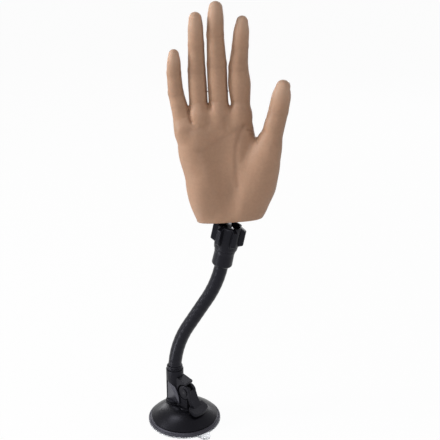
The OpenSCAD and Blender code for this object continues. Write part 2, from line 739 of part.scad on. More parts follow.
module socket_sleeve() color(black) at_neck(len3) difference() {
    union() {
        cylinder(d1 = sleeve_d - 3, d2 = sleeve_d, h = 1.8);
        translate([0, 0, 1.8]) cylinder(d = sleeve_d, h = sleeve_h - 1.8);
        translate([0, 0, sleeve_h - 1]) cylinder(r = petal_r, h = 12);
        translate([0, 0, sleeve_h + 11])
            cylinder(r1 = petal_r, r2 = petal_r - 1.1, h = lip_up - sleeve_h - 11);
    }
    translate([0, 0, -1]) cylinder(r = neck_r + 0.05, h = 12.1);
    translate([0, 0, 5]) cylinder(r = 2.6, h = ball_up - 5);
    translate([0, 0, ball_up - 10]) cylinder(r = cup_r + 0.25, h = 10);
    translate([0, 0, ball_up]) sphere(cup_r);
    for (a = [45, 135]) rotate([0, 0, a]) translate([-20, -0.7, ball_up - 4]) cube([40, 1.4, 20]);
}

module lock_nut() color(black) at_neck(len3) difference() {
    union() {
        translate([0, 0, sleeve_h + 0.3]) cylinder(d1 = nut_d - 0.8, d2 = nut_d, h = 3);
        translate([0, 0, sleeve_h + 3.3]) cylinder(d = nut_d, h = nut_top - sleeve_h - 4.3);
        translate([0, 0, nut_top - 1]) cylinder(d1 = nut_d, d2 = nut_d - 1.6, h = 1);
        for (k = [0:fin_count - 1]) rotate([0, 0, 360 * k / fin_count + 60])
            translate([0, fin_w / 2, 0]) rotate([90, 0, 0]) linear_extrude(fin_w) polygon([
                [nut_d / 2 - 1, sleeve_h + 6], [nut_fin_d / 2 - 0.6, sleeve_h + 7.4],
                [nut_fin_d / 2, nut_top - 3], [nut_fin_d / 2 - 2, nut_top - 0.6],
                [nut_d / 2 - 1, nut_top - 0.6]
            ]);
    }
    cylinder(r = petal_r + move_gap, h = sleeve_h + 14);
    translate([0, 0, sleeve_h + 13.9])
        cylinder(r1 = petal_r + move_gap, r2 = petal_r - 0.4, h = lip_up + 1 - sleeve_h - 13.9);
    translate([0, 0, lip_up + 0.9]) cylinder(r = petal_r - 0.4, h = 30);
}

module seat_ring() color([0.3, 0.3, 0.32]) at_neck(len3) difference() {
    translate([0, 0, ball_up - 9.9]) cylinder(r = cup_r - 0.1, h = 6);
    translate([0, 0, ball_up]) sphere(cup_r);
    translate([0, 0, ball_up - 20]) cylinder(r = 2.6, h = 20);
}

module ball_stud() color(steel) translate(ball_at) {
    sphere(ball_r);
    cylinder(d = stud_neck_d, h = wrist_h - 2);
    translate([0, 0, wrist_h - 2.8]) cylinder(d = 11, h = 2.5, $fn = 6);
    translate([0, 0, wrist_h - 1]) cylinder(d = stud_d, h = 15);
}

module palm_skin() color(skin_color) soft() difference() {
    union() {
        palm_body([for (r = palm_rows) r[0]], 0);
        for (f = [index, middle, ring, little]) root_stub(f, 14, 1.4);
        thumb_mound();
        heel_mound();
    }
    palm_dish(0);
    difference() {
        palm_body(concat([wrist_h - 1, core_low], core_rows, [bar_z + 0.1]), skin_wall - skin_gap);
        palm_dish(dish_wall);
    }
    knuckle_room();
}

module palm_core() color([0.75, 0.73, 0.68]) soft() difference() {
    palm_body(concat([core_low], core_rows, [bar_z - 0.1]), skin_wall);
    palm_dish(dish_wall + skin_gap);
    difference() {
        palm_body(concat([core_low - 1], core_rows, [bar_z - 0.1 - 2 * core_wall]), skin_wall + core_wall);
        palm_dish(dish_wall + skin_gap + core_wall);
    }
    for (x = bar_screws) translate(ball_at + [x, 0, bar_z - 10])
        cylinder(d = screw_d + 0.1, h = 20, $fn = 24);
}

module knuckle_bar() color(bone_color) {
    difference() {
        bar_block(0);
        for (x = bar_screws) translate(ball_at + [x, 0, bar_z - 1])
            cylinder(d = screw_d + 2 * fix_gap, h = 20);
    }
    for (f = [index, middle, ring, little]) {
        at_joint(f, 0) fork(f[0][0][2] - ball_at[2] - bar_z - bar_h / 2);
    }
}

module thumb_bracket() color(bone_color) at_joint(thumb, 0) {
    fork(8);
    translate([0, 0, -bracket_len]) cylinder(r = 3.2, h = bracket_len - 6);
}

module wrist_plate() color(black) translate(ball_at) difference() {
    union() {
        translate([0, 0, wrist_h]) linear_extrude(core_low - wrist_h) polygon([
            for (p = palm_ring(wrist_h, skin_wall + plate_gap)) [p[0] - ball_at[0], p[1] - ball_at[1]]
        ]);
        translate([0, 0, wrist_h]) cylinder(d = 15, h = 17);
    }
    translate([0, 0, wrist_h - 1]) cylinder(d = stud_d + 2 * run_gap, h = 30);
}

module palm_screws() color(steel) for (x = bar_screws) translate(ball_at + [x, 0, 0]) {
    translate([0, 0, bar_z - 6]) cylinder(d = screw_d, h = bar_h + 7);
    translate([0, 0, bar_z + bar_h]) cylinder(d = screw_head_d, h = screw_head_h);
}

module knuckle_pins() color(steel) for (f = fingers) rivet(f, 0);

module index_root_skin() color(skin_color) phalanx_skin(index, 0);
module index_root_bone() color(bone_color) bone(index, 0);
module index_mid_skin() color(skin_color) phalanx_skin(index, 1);
module index_mid_bone() color(bone_color) bone(index, 1);
module index_tip_skin() color(skin_color) soft() tip_skin(index, 2);
module index_tip_bone() color(bone_color) tip_bone(index, 2);
module index_nail() color(nail_color) nail(index, 2);
module middle_root_skin() color(skin_color) phalanx_skin(middle, 0);
module middle_root_bone() color(bone_color) bone(middle, 0);
module middle_mid_skin() color(skin_color) phalanx_skin(middle, 1);
module middle_mid_bone() color(bone_color) bone(middle, 1);
module middle_tip_skin() color(skin_color) soft() tip_skin(middle, 2);
module middle_tip_bone() color(bone_color) tip_bone(middle, 2);
module middle_nail() color(nail_color) nail(middle, 2);
module ring_root_skin() color(skin_color) phalanx_skin(ring, 0);
module ring_root_bone() color(bone_color) bone(ring, 0);
module ring_mid_skin() color(skin_color) phalanx_skin(ring, 1);
module ring_mid_bone() color(bone_color) bone(ring, 1);
module ring_tip_skin() color(skin_color) soft() tip_skin(ring, 2);
module ring_tip_bone() color(bone_color) tip_bone(ring, 2);
module ring_nail() color(nail_color) nail(ring, 2);
module little_root_skin() color(skin_color) phalanx_skin(little, 0);
module little_root_bone() color(bone_color) bone(little, 0);
module little_mid_skin() color(skin_color) phalanx_skin(little, 1);
module little_mid_bone() color(bone_color) bone(little, 1);
module little_tip_skin() color(skin_color) soft() tip_skin(little, 2);
module little_tip_bone() color(bone_color) tip_bone(little, 2);
module little_nail() color(nail_color) nail(little, 2);
module thumb_root_skin() color(skin_color) phalanx_skin(thumb, 0);
module thumb_root_bone() color(bone_color) bone(thumb, 0);
module thumb_tip_skin() color(skin_color) soft() tip_skin(thumb, 1);
module thumb_tip_bone() color(bone_color) tip_bone(thumb, 1);
module thumb_nail() color(nail_color) nail(thumb, 1);

gel_pad();
suction_cup();
dome_cover();
tower();
tower_screws();
collar();
arm_core();
arm_1();
arm_2();
arm_3();
arm_4();
arm_5();
pull_stem();
lever_pin();
lever();
socket_sleeve();
lock_nut();
seat_ring();
ball_stud();
palm_skin();
palm_core();
knuckle_bar();
thumb_bracket();
wrist_plate();
palm_screws();
knuckle_pins();
index_root_skin();
index_root_bone();
index_mid_skin();
index_mid_bone();
index_tip_skin();
index_tip_bone();
index_nail();
middle_root_skin();
middle_root_bone();
middle_mid_skin();
middle_mid_bone();
middle_tip_skin();
middle_tip_bone();
middle_nail();
ring_root_skin();
ring_root_bone();
ring_mid_skin();
ring_mid_bone();
ring_tip_skin();
ring_tip_bone();
ring_nail();
little_root_skin();
little_root_bone();
little_mid_skin();
little_mid_bone();
little_tip_skin();
little_tip_bone();
little_nail();
thumb_root_skin();
thumb_root_bone();
thumb_tip_skin();
thumb_tip_bone();
thumb_nail();
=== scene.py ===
"""Looks of a nail practice hand: a soft jointed hand on a bendable arm with a suction base.

Sizes are millimetres in the classes and metres in the meshes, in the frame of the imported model.
"""

import json
import logging
import math
from dataclasses import dataclass, field
from enum import Enum
from typing import Any, Sequence

import bmesh
import bpy
import numpy as np
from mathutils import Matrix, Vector


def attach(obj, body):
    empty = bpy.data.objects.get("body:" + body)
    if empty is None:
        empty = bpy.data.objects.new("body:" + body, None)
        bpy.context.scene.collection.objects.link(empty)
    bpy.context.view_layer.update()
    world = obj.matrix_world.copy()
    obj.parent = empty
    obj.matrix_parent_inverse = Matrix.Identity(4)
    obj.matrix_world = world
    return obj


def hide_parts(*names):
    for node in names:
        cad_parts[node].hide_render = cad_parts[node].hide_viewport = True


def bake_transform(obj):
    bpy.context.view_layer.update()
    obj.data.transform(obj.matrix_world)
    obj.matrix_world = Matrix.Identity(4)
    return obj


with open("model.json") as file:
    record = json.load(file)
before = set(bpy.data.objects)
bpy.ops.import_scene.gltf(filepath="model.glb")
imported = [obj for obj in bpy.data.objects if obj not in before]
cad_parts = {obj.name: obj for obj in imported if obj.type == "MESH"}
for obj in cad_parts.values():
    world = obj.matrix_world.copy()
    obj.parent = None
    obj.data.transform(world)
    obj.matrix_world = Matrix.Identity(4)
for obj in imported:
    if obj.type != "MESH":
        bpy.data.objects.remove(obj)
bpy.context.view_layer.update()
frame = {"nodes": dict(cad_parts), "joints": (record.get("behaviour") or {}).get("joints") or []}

JOINTS = {joint["name"]: joint for joint in frame["joints"]}
LOG = logging.getLogger("practice_hand")

MM = 0.001  # metres in a millimetre
METRE = 1000.0  # millimetres in a metre
FULL_TURN = 2 * math.pi
TINY = 1e-9  # keeps a division off zero
EDGE_ANGLE = 34.0  # degrees past which an edge stays an edge

Colour = tuple[float, float, float]
Point = tuple[float, float, float]
Line = Sequence[tuple[float, float]]
Stops = Sequence[tuple[float, float]]  # place and grey level
Shape = tuple[np.ndarray, list[list[int]]]  # corners and faces
Form = tuple[Sequence[float], Sequence[float], float]  # place, radii and softness
Fold = tuple[Line, float, float]  # line, depth and width


def joint_at(name: str) -> np.ndarray:
    """Place of a joint in millimetres."""
    return np.array(JOINTS[name]["pos_m"], float) * METRE


def joint_axis(name: str) -> np.ndarray:
    """Unit axis of a joint."""
    return np.array(JOINTS[name]["axis"], float)


# Shaders


class Sock:
    """A value socket: its operators add Math nodes to the graph it belongs to."""

    def __init__(self, graph: "Graph", socket: bpy.types.NodeSocket) -> None:
        """Wraps a socket of a graph."""
        self.graph = graph
        self.socket = socket

    def math(self, operation: str, *values: Any) -> "Sock":
        """Adds a Math node whose inputs, in order, are numbers or sockets."""
        settings = {"operation": operation}
        return self.graph.add("ShaderNodeMath", settings, dict(enumerate(values)))

    def __add__(self, other: Any) -> "Sock":
        """Sum."""
        return self.math("ADD", self, other)

    def __radd__(self, other: Any) -> "Sock":
        """Sum with the value on the left."""
        return self.math("ADD", other, self)

    def __sub__(self, other: Any) -> "Sock":
        """Difference."""
        return self.math("SUBTRACT", self, other)

    def __rsub__(self, other: Any) -> "Sock":
        """Difference from the value on the left."""
        return self.math("SUBTRACT", other, self)

    def __mul__(self, other: Any) -> "Sock":
        """Product."""
        return self.math("MULTIPLY", self, other)

    def __rmul__(self, other: Any) -> "Sock":
        """Product with the value on the left."""
        return self.math("MULTIPLY", other, self)

    def most(self, other: Any) -> "Sock":
        """The larger of two values."""
        return self.math("MAXIMUM", self, other)

    def clamp(self) -> "Sock":
        """The value held between 0 and 1."""
        return self.graph.add("ShaderNodeClamp", {}, {"Value": self})


class Graph:
    """The node tree of one material or of the world."""

    def __init__(self, tree: bpy.types.NodeTree) -> None:
        """Empties the tree."""
        self.tree = tree
        tree.nodes.clear()

    def add(self, kind: str, settings: dict[str, Any] | None = None,
            values: dict[Any, Any] | None = None, out: Any = 0) -> Sock:
        """Adds a node.

        Args:
            kind: the node's type.
            settings: attributes of the node, set first; "stops" sets a ramp's stops.
            values: numbers, colours or sockets for its inputs, by name or number.
            out: name or number of the output to hand back.

        Returns:
            The chosen output.
        """
        node = self.tree.nodes.new(kind)
        for key, value in (settings or {}).items():
            if key == "stops":
                self._stops(node.color_ramp, value)
            else:
                setattr(node, key, value)
        for key, value in (values or {}).items():
            socket = node.inputs[key]
            if isinstance(value, Sock):
                self.tree.links.new(value.socket, socket)
            else:
                socket.default_value = value
        return Sock(self, node.outputs[out] if len(node.outputs) else None)

    @staticmethod
    def _stops(ramp: bpy.types.ColorRamp, stops: Stops) -> None:
        """Sets a ramp's stops.

        Args:
            ramp: the ramp.
            stops: pairs of place and grey level, in order.
        """
        while len(ramp.elements) < len(stops):
            ramp.elements.new(1.0)
        for element, (place, level) in zip(ramp.elements, stops):
            element.position = place
            element.color = (level, level, level, 1)

    def ramp(self, value: Sock, stops: Stops) -> Sock:
        """Grey level that a ramp gives a value."""
        return self.add("ShaderNodeValToRGB", {"stops": stops}, {"Fac": value})

    def mix(self, factor: Any, low: Any, high: Any) -> Sock:
        """Colour between low and high."""
        values = {0: factor, 6: low, 7: high}
        return self.add("ShaderNodeMix", {"data_type": "RGBA"}, values, 2)

    def place(self) -> Sock:
        """Object coordinates."""
        return self.add("ShaderNodeTexCoord", out="Object")

    def noise(self, scale: float, detail: float = 2.0, rough: float = 0.5,
              stretch: Point = (1, 1, 1)) -> Sock:
        """Noise on Object coordinates.

        Args:
            scale: waves per metre.
            detail: octaves.
            rough: share of the finer octaves.
            stretch: scale along each axis.

        Returns:
            The noise, about 0.5.
        """
        vector = self.add("ShaderNodeMapping", {}, {"Vector": self.place(), "Scale": stretch})
        values = {"Vector": vector, "Scale": scale, "Detail": detail, "Roughness": rough}
        return self.add("ShaderNodeTexNoise", {}, values)

    def cells(self, scale: float) -> Sock:
        """Distance to the nearest edge of a cell pattern on Object coordinates."""
        values = {"Vector": self.place(), "Scale": scale}
        return self.add("ShaderNodeTexVoronoi", {"feature": "DISTANCE_TO_EDGE"}, values)

    def mark(self, name: str) -> Sock:
        """A number stored on the mesh under that name."""
        settings = {"attribute_name": name, "attribute_type": "GEOMETRY"}
        return self.add("ShaderNodeAttribute", settings, out="Fac")

    def bump(self, height: Sock, strength: float, depth: float) -> Sock:
        """Normal from a height, where depth is the height in metres."""
        values = {"Height": height, "Strength": strength, "Distance": depth}
        return self.add("ShaderNodeBump", {}, values)


def rgba(colour: Sequence[float], gain: float = 1.0) -> tuple[float, float, float, float]:
    """A colour with full alpha, scaled by a gain."""
    return (colour[0] * gain, colour[1] * gain, colour[2] * gain, 1.0)


@dataclass(frozen=True)
class Finish:
    """What every finish has: a name, a colour, a roughness and shader constants."""

    name: str
    colour: Colour
    roughness: float = 0.5
    constants: tuple[tuple[str, Any], ...] = ()

    def make(self) -> bpy.types.Material:
        """Makes the material of this finish on first use.

        Returns:
            The material.
        """
        found = bpy.data.materials.get(self.name)
        if found is not None:
            return found
        material = bpy.data.materials.new(self.name)
        material.use_nodes = True
        graph = Graph(material.node_tree)
        values: dict[str, Any] = dict(self.constants)
        values.update(self.varying(graph))
        shader = graph.add("ShaderNodeBsdfPrincipled", {}, values)
        graph.add("ShaderNodeOutputMaterial", {}, {"Surface": shader})
        return material

    def varying(self, graph: Graph) -> dict[str, Any]:
        """Inputs of the shader that change over the surface."""
        return {"Base Color": rgba(self.colour), "Roughness": self.roughness}


@dataclass(frozen=True)
class Silicone(Finish):
    """Soft tinted silicone: mottled colour, painted shade in the creases, painted light on the
    fingertips, fine skin grain.
    """

    # colour of the painted shade in the creases, also used for the random dark specks
    crease: Colour = (0.2, 0.1, 0.062)
    # colour of the painted light on the fingertips
    tip: Colour = (0.56, 0.37, 0.265)
    mottle_scale: float = 38.0
    pore_scale: float = 420.0
    cell_scale: float = 950.0
    depth: float = 0.0004

    def varying(self, graph: Graph) -> dict[str, Any]:
        """Base colour from mottling, painted shade in the creases and painted light on the tips;
        bump from cells and noise.

        Args:
            graph: the material's graph.

        Returns:
            Values of the shader's inputs.
        """
        broad = graph.noise(self.mottle_scale, 3, 0.55)
        fine = graph.noise(self.pore_scale, 4, 0.65)
        tone = graph.mix(graph.ramp(broad, ((0.3, 0.0), (0.7, 1.0))),
                         rgba(self.colour, 0.93), rgba(self.colour, 1.06))
        # random dark specks from the fine noise, in the colour of the crease shade
        tone = graph.mix(graph.ramp(fine, ((0.36, 0.14), (0.6, 0.0))), tone, rgba(self.crease))
        # painted light: paler towards the fingertips
        tone = graph.mix((graph.mark("tip") * 0.55).clamp(), tone, rgba(self.tip))
        # painted shade: darker where the creases and webs are deep
        tone = graph.mix((graph.mark("crease") * 0.4).clamp(), tone, rgba(self.crease))
        grain = graph.cells(self.cell_scale)
        height = graph.ramp(grain, ((0.0, 0.0), (0.22, 1.0))) * 0.6 + fine * 0.8
        rough = self.roughness + (broad - 0.5) * 0.12 + (fine - 0.5) * 0.16
        return {
            "Base Color": tone,
            "Roughness": rough,
            "Normal": graph.bump(height, 0.16, self.depth),
        }


@dataclass(frozen=True)
class Moulded(Finish):
    """Moulded plastic or rubber: fine spark grain, faint flow marks, rubbed patches."""

    grain: float = 1600.0
    depth: float = 0.00012
    worn: float = 0.12
    flow_scale: float = 60.0
    rub_scale: float = 140.0

    def varying(self, graph: Graph) -> dict[str, Any]:
        """Colour and roughness from flow marks and rubbing; bump from the grain.

        Args:
            graph: the material's graph.

        Returns:
            Values of the shader's inputs.
        """
        flow = graph.noise(self.flow_scale, 3, 0.6)
        spark = graph.noise(self.grain, 3, 0.6)
        rub = graph.ramp(graph.noise(self.rub_scale, 5, 0.7), ((0.52, 0.0), (0.72, 1.0)))
        tone = graph.mix(flow, rgba(self.colour, 0.8), rgba(self.colour, 1.25))
        tone = graph.mix(rub * self.worn, tone, rgba([c * 1.6 + 0.004 for c in self.colour]))
        rough = self.roughness + (spark - 0.5) * 0.14 + (flow - 0.5) * 0.08 - rub * 0.05
        return {
            "Base Color": tone,
            "Roughness": rough,
            "Normal": graph.bump(spark, 0.25, self.depth),
        }


@dataclass(frozen=True)
class Metal(Finish):
    """Turned or drawn steel: fine streaks and a little tarnish."""

    streak_scale: float = 900.0
    stain_scale: float = 180.0
    depth: float = 0.0001

    def varying(self, graph: Graph) -> dict[str, Any]:
        """Colour from tarnish, roughness and bump from streaks.

        Args:
            graph: the material's graph.

        Returns:
            Values of the shader's inputs.
        """
        streak = graph.noise(self.streak_scale, 3, 0.6, (1, 1, 0.08))
        stain = graph.ramp(graph.noise(self.stain_scale, 4, 0.6), ((0.45, 0.0), (0.75, 1.0)))
        tone = graph.mix(stain * 0.4, rgba(self.colour), rgba(self.colour, 0.6))
        return {
            "Base Color": tone,
            "Roughness": self.roughness + (streak - 0.5) * 0.2,
            "Normal": graph.bump(streak, 0.15, self.depth),
        }


@dataclass(frozen=True)
class NailPlate(Finish):
    """Thin plastic nail: paler free end, milky base and fine lengthwise ridges."""

    free_end: Colour = (0.8, 0.75, 0.68)
    cloud_scale: float = 300.0
    depth: float = 0.0001

    def varying(self, graph: Graph) -> dict[str, Any]:
        """Colour from the distance to the free end; bump from ridges stored on the mesh.

        Args:
            graph: the material's graph.

        Returns:
            Values of the shader's inputs.
        """
        cloud = graph.noise(self.cloud_scale, 3, 0.5)
        tone = graph.mix(graph.ramp(graph.mark("reach"), ((0.62, 0.0), (0.78, 1.0))),
                         rgba(self.colour), rgba(self.free_end))
        tone = graph.mix(cloud * 0.16, tone, rgba(self.free_end))
        ridge = graph.mark("ridge")
        return {
            "Base Color": tone,
            "Roughness": self.roughness + (cloud - 0.5) * 0.12,
            "Normal": graph.bump(ridge + cloud * 0.4, 0.12, self.depth),
        }


COOL = ("Specular Tint", (0.84, 0.84, 1.0, 1.0))  # a cool sheen on the black pieces
SKIN = Silicone("skin_silicone", (0.43, 0.256, 0.164), 0.5, (
    ("Subsurface Weight", 0.12), ("Subsurface Radius", (1.0, 0.42, 0.25)),
    ("Subsurface Scale", 0.004), ("Specular IOR Level", 0.32),
))
SATIN_BLACK = Moulded("satin_black_plastic", (0.0065, 0.0063, 0.0085), 0.34, (
    ("Specular IOR Level", 0.18), COOL), grain=1900, depth=0.00006, worn=0.2)
# the flank plates' black: glossier than the tower's, and twice as light, which is painted light on
# the flanks
LIT_CHEEK_BLACK = Moulded("polished_cheek_painted_light", (0.013, 0.0128, 0.017), 0.24, (
    ("Specular IOR Level", 1.0), COOL), grain=2200, depth=0.00002, worn=0.1)
GLOSS_BLACK = Moulded("gloss_black_plastic", (0.0026, 0.0025, 0.0036), 0.3, (
    ("Specular IOR Level", 0.13), COOL), grain=2400, depth=0.00001, worn=0.05)
BLACK_RUBBER = Moulded("cup_rubber", (0.042, 0.041, 0.051), 0.42, (
    ("Specular IOR Level", 0.26), COOL), grain=1300, depth=0.00006, worn=0.2)
ARM_SLEEVE = Moulded("black_arm_sleeve", (0.0065, 0.0063, 0.0085), 0.3, (
    ("Specular IOR Level", 0.2), COOL), grain=1500, depth=0.00002, worn=0.1)
CLEAR_GEL = Moulded("tacky_gel", (0.9, 0.92, 0.95), 0.12, (
    ("Transmission Weight", 0.8), ("IOR", 1.42)), grain=260, depth=0.0001, worn=0.1)
BONE_PLASTIC = Moulded("ivory_plastic", (0.66, 0.61, 0.5), 0.5,
                       grain=1100, depth=0.0001, worn=0.2)
GREY_PLASTIC = Moulded("grey_plastic", (0.07, 0.07, 0.078), 0.5,
                       grain=1200, depth=0.0001, worn=0.2)
STEEL = Metal("drawn_steel", (0.6, 0.6, 0.62), 0.3, (("Metallic", 1.0),))
DARK_STEEL = Metal("blackened_steel", (0.05, 0.05, 0.054), 0.4, (("Metallic", 1.0),))
NAIL = NailPlate("pressed_nail", (0.62, 0.45, 0.37), 0.2, (
    ("Coat Weight", 0.35), ("Coat Roughness", 0.1)))


# Meshes


def outward(mesh: bpy.types.Mesh) -> None:
    """Turns the faces of closed shells outwards.

    Args:
        mesh: the mesh.
    """
    work = bmesh.new()
    work.from_mesh(mesh)
    bmesh.ops.recalc_face_normals(work, faces=work.faces)
    work.to_mesh(mesh)
    work.free()


class Shading(Enum):
    """How a piece's faces meet: rounded all over, or with its edges kept."""

    ROUND = 180.0
    EDGED = EDGE_ANGLE


def add_piece(name: str, points: np.ndarray, faces: Sequence[Sequence[int]], finish: Finish,
              shading: Shading = Shading.ROUND, closed: bool = True) -> bpy.types.Object:
    """Puts a shape into the scene.

    Args:
        name: the piece's name.
        points: its corners in millimetres, one row each.
        faces: its faces as corner numbers.
        finish: its finish.
        shading: how its faces meet.
        closed: whether to turn the faces outwards.

    Returns:
        The new object, at the origin.
    """
    mesh = bpy.data.meshes.new(name)
    mesh.from_pydata((np.asarray(points, float) * MM).tolist(), [], faces)
    if closed:
        outward(mesh)
    mesh.shade_smooth()
    if shading is Shading.EDGED:
        mesh.set_sharp_from_angle(angle=math.radians(shading.value))
    mesh.materials.append(finish.make())
    piece = bpy.data.objects.new(name, mesh)
    bpy.context.scene.collection.objects.link(piece)
    LOG.info("built %s", name)
    return piece


def grid_faces(rows: int, columns: int) -> list[list[int]]:
    """Quads of a grid that closes on itself along its columns.

    Args:
        rows: rows of corners.
        columns: corners in a row.

    Returns:
        The quads.
    """
    i = np.arange(rows - 1)[:, None]
    j = np.arange(columns)[None, :]
    k = (j + 1) % columns
    quads = np.stack([i * columns + j, i * columns + k, (i + 1) * columns + k,
                      (i + 1) * columns + j], -1)
    return quads.reshape(-1, 4).tolist()


def tube_faces(rows: int, columns: int) -> list[list[int]]:
    """Quads of a grid that closes on itself, with a face over each end.

    Args:
        rows: rows of corners.
        columns: corners in a row.

    Returns:
        The faces.
    """
    first = list(range(columns))
    last = list(range((rows - 1) * columns, rows * columns))
    return grid_faces(rows, columns) + [first[::-1], last]


def sheet_quads(rows: int, columns: int) -> np.ndarray:
    """Quads of an open grid, four corner numbers a row."""
    n = np.arange(rows * columns).reshape(rows, columns)
    return np.stack([n[:-1, :-1], n[:-1, 1:], n[1:, 1:], n[1:, :-1]], -1).reshape(-1, 4)


def rounded(corners: Line, radius: float, steps: int, looped: bool = False) -> np.ndarray:
    """A polyline whose corners are eased: each is a parabola between points radius away.

    Args:
        corners: the polyline's corners.
        radius: how far from a corner its curve starts, at most half of a side.
        steps: points per corner.
        looped: whether the last corner joins the first.

    Returns:
        The points, one row each.
    """
    share = 0.48  # of a side that one curve may take
    p = np.array(corners, float)
    before = np.roll(p, 1, 0)
    after = np.roll(p, -1, 0)
    d0 = np.linalg.norm(before - p, axis=1)[:, None]
    d1 = np.linalg.norm(after - p, axis=1)[:, None]
    a = p + (before - p) * np.minimum(radius / np.maximum(d0, TINY), share)
    b = p + (after - p) * np.minimum(radius / np.maximum(d1, TINY), share)
    t = np.linspace(0, 1, steps)[None, :, None]
    curve = (1 - t) ** 2 * a[:, None] + 2 * t * (1 - t) * p[:, None] + t**2 * b[:, None]
    if looped:
        return curve.reshape(-1, 2)
    return np.concatenate([p[:1], curve[1:-1].reshape(-1, 2), p[-1:]])


def ring_angles(sides: int) -> np.ndarray:
    """Angles of evenly spaced points round a circle."""
    return np.linspace(0, FULL_TURN, sides, endpoint=False)


def arc(low: float, high: float, count: int) -> np.ndarray:
    """Points on the unit circle from one angle to another."""
    a = np.linspace(low, high, count)
    return np.stack([np.cos(a), np.sin(a)], -1)


def lathe(profile: np.ndarray, sides: int) -> Shape:
    """A profile carried round the Z axis, its two ends closed by faces.

    Args:
        profile: radius and height, one row each.
        sides: points round the axis.

    Returns:
        Corners and faces.
    """
    least_r = 0.01
    angle = ring_angles(sides)
    r, z = np.maximum(profile[:, :1], least_r), profile[:, 1:]
    points = np.stack([r * np.cos(angle), r * np.sin(angle), z + 0 * angle], -1).reshape(-1, 3)
    return points, tube_faces(len(profile), sides)


def lathe_loop(profile: np.ndarray, sides: int) -> Shape:
    """A closed profile carried round the Z axis, as a ring.

    Args:
        profile: radius and height, one row each.
        sides: points round the axis.

    Returns:
        Corners and faces.
    """
    loop = np.concatenate([profile, profile[:1]])
    points, _ = lathe(loop, sides)
    rows = len(profile)
    faces = np.array(grid_faces(rows + 1, sides))
    return points[: rows * sides], (faces % (rows * sides)).tolist()


def slab(outline: np.ndarray, low: float, high: float, bevel: float, steps: int = 4) -> Shape:
    """An outline carried from low to high, drawn in by a quarter circle at both rims.

    Args:
        outline: points of a closed outline, one row each.
        low: height of the lower face.
        high: height of the upper face.
        bevel: radius of the rims.
        steps: points per rim.

    Returns:
        Corners and faces.
    """
    turn = np.roll(outline, -1, 0) - np.roll(outline, 1, 0)
    normal = np.stack([turn[:, 1], -turn[:, 0]], -1)
    normal /= np.maximum(np.linalg.norm(normal, axis=1)[:, None], TINY)
    x, y = outline.T
    if np.sum(x * np.roll(y, -1) - np.roll(x, -1) * y) < 0:
        normal = -normal
    a = np.linspace(0, math.pi / 2, steps)
    inset = np.concatenate([bevel * (1 - np.sin(a)), bevel * (1 - np.cos(a))])
    height = np.concatenate([low + bevel * (1 - np.cos(a)), high - bevel * (1 - np.sin(a))])
    flat = outline[None] - normal[None] * inset[:, None, None]
    tall = np.broadcast_to(height[:, None, None], flat.shape[:2] + (1,))
    points = np.concatenate([flat, tall], -1).reshape(-1, 3)
    return points, tube_faces(2 * steps, len(outline))


def sweep(path: np.ndarray, across: np.ndarray, up: np.ndarray, radius: np.ndarray,
          sides: int) -> Shape:
    """A circle carried along a path.

    Args:
        path: points of the path, one row each.
        across: unit vector across the path at each point.
        up: the other unit vector across the path.
        radius: radius at each point.
        sides: points round the circle.

    Returns:
        Corners and faces.
    """
    a = ring_angles(sides)[None, :, None]
    ring = across[:, None] * np.cos(a) + up[:, None] * np.sin(a)
    points = path[:, None] + ring * radius[:, None, None]
    return points.reshape(-1, 3), tube_faces(len(path), sides)


def join(*parts: Shape) -> Shape:
    """Several shapes as one.

    Args:
        parts: the shapes.

    Returns:
        Corners and faces.
    """
    points, faces, count = [], [], 0
    for corner, face in parts:
        points.append(corner)
        faces.extend([[k + count for k in f] for f in face])
        count += len(corner)
    return np.concatenate(points), faces


def turned(points: np.ndarray, angle: float) -> np.ndarray:
    """Points turned about the Z axis by an angle in degrees."""
    c, s = math.cos(math.radians(angle)), math.sin(math.radians(angle))
    return points @ np.array([[c, s, 0], [-s, c, 0], [0, 0, 1]])


def framed(points: np.ndarray, at: np.ndarray, axes: np.ndarray) -> np.ndarray:
    """Points of a local frame, whose axes are the rows of axes, in the shared frame."""
    return points @ axes + at


def upright(points: np.ndarray) -> np.ndarray:
    """Points turned a quarter about the X axis, so that height becomes depth."""
    return np.stack([points[:, 0], -points[:, 2], points[:, 1]], -1)


def dress(node: str, finish: Finish, bevel: float = 0.0) -> None:
    """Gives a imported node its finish, and eases its edges.

    Args:
        node: the node's name.
        finish: its finish.
        bevel: radius of its edges in millimetres, 0 to leave them.
    """
    piece = frame["nodes"][node]
    piece.data.materials.clear()
    piece.data.materials.append(finish.make())
    if bevel > 0:
        same_point, same_plane = 2e-6, 0.6  # metres, degrees
        weld = piece.modifiers.new("weld", "WELD")
        weld.merge_threshold = same_point
        flat = piece.modifiers.new("flat", "DECIMATE")
        flat.decimate_type = "DISSOLVE"
        flat.angle_limit = math.radians(same_plane)
        ease = piece.modifiers.new("ease", "BEVEL")
        ease.width = bevel * MM
        ease.segments = 3
        ease.limit_method = "ANGLE"
        ease.angle_limit = math.radians(EDGE_ANGLE)
        ease.harden_normals = True
    LOG.info("dressed node %s", node)


def stand_for(nodes: Sequence[str]) -> None:
    """Hides the imported nodes that a piece stands for."""
    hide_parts(*nodes)


def store(piece: bpy.types.Object, name: str, values: np.ndarray) -> None:
    """Stores a number on each corner of a piece."""
    layer = piece.data.attributes.new(name, "FLOAT", "POINT")
    layer.data.foreach_set("value", np.asarray(values, np.float32))


# The hand


def smooth_least(a: np.ndarray, b: np.ndarray, k: float) -> np.ndarray:
    """The smaller of two fields, rounded over a width k where they meet."""
    h = np.clip(0.5 + 0.5 * (b - a) / k, 0, 1)
    return b + (a - b) * h - k * h * (1 - h)


def smooth_most(a: np.ndarray, b: np.ndarray, k: float) -> np.ndarray:
    """The larger of two fields, rounded over a width k where they meet."""
    return -smooth_least(-a, -b, k)


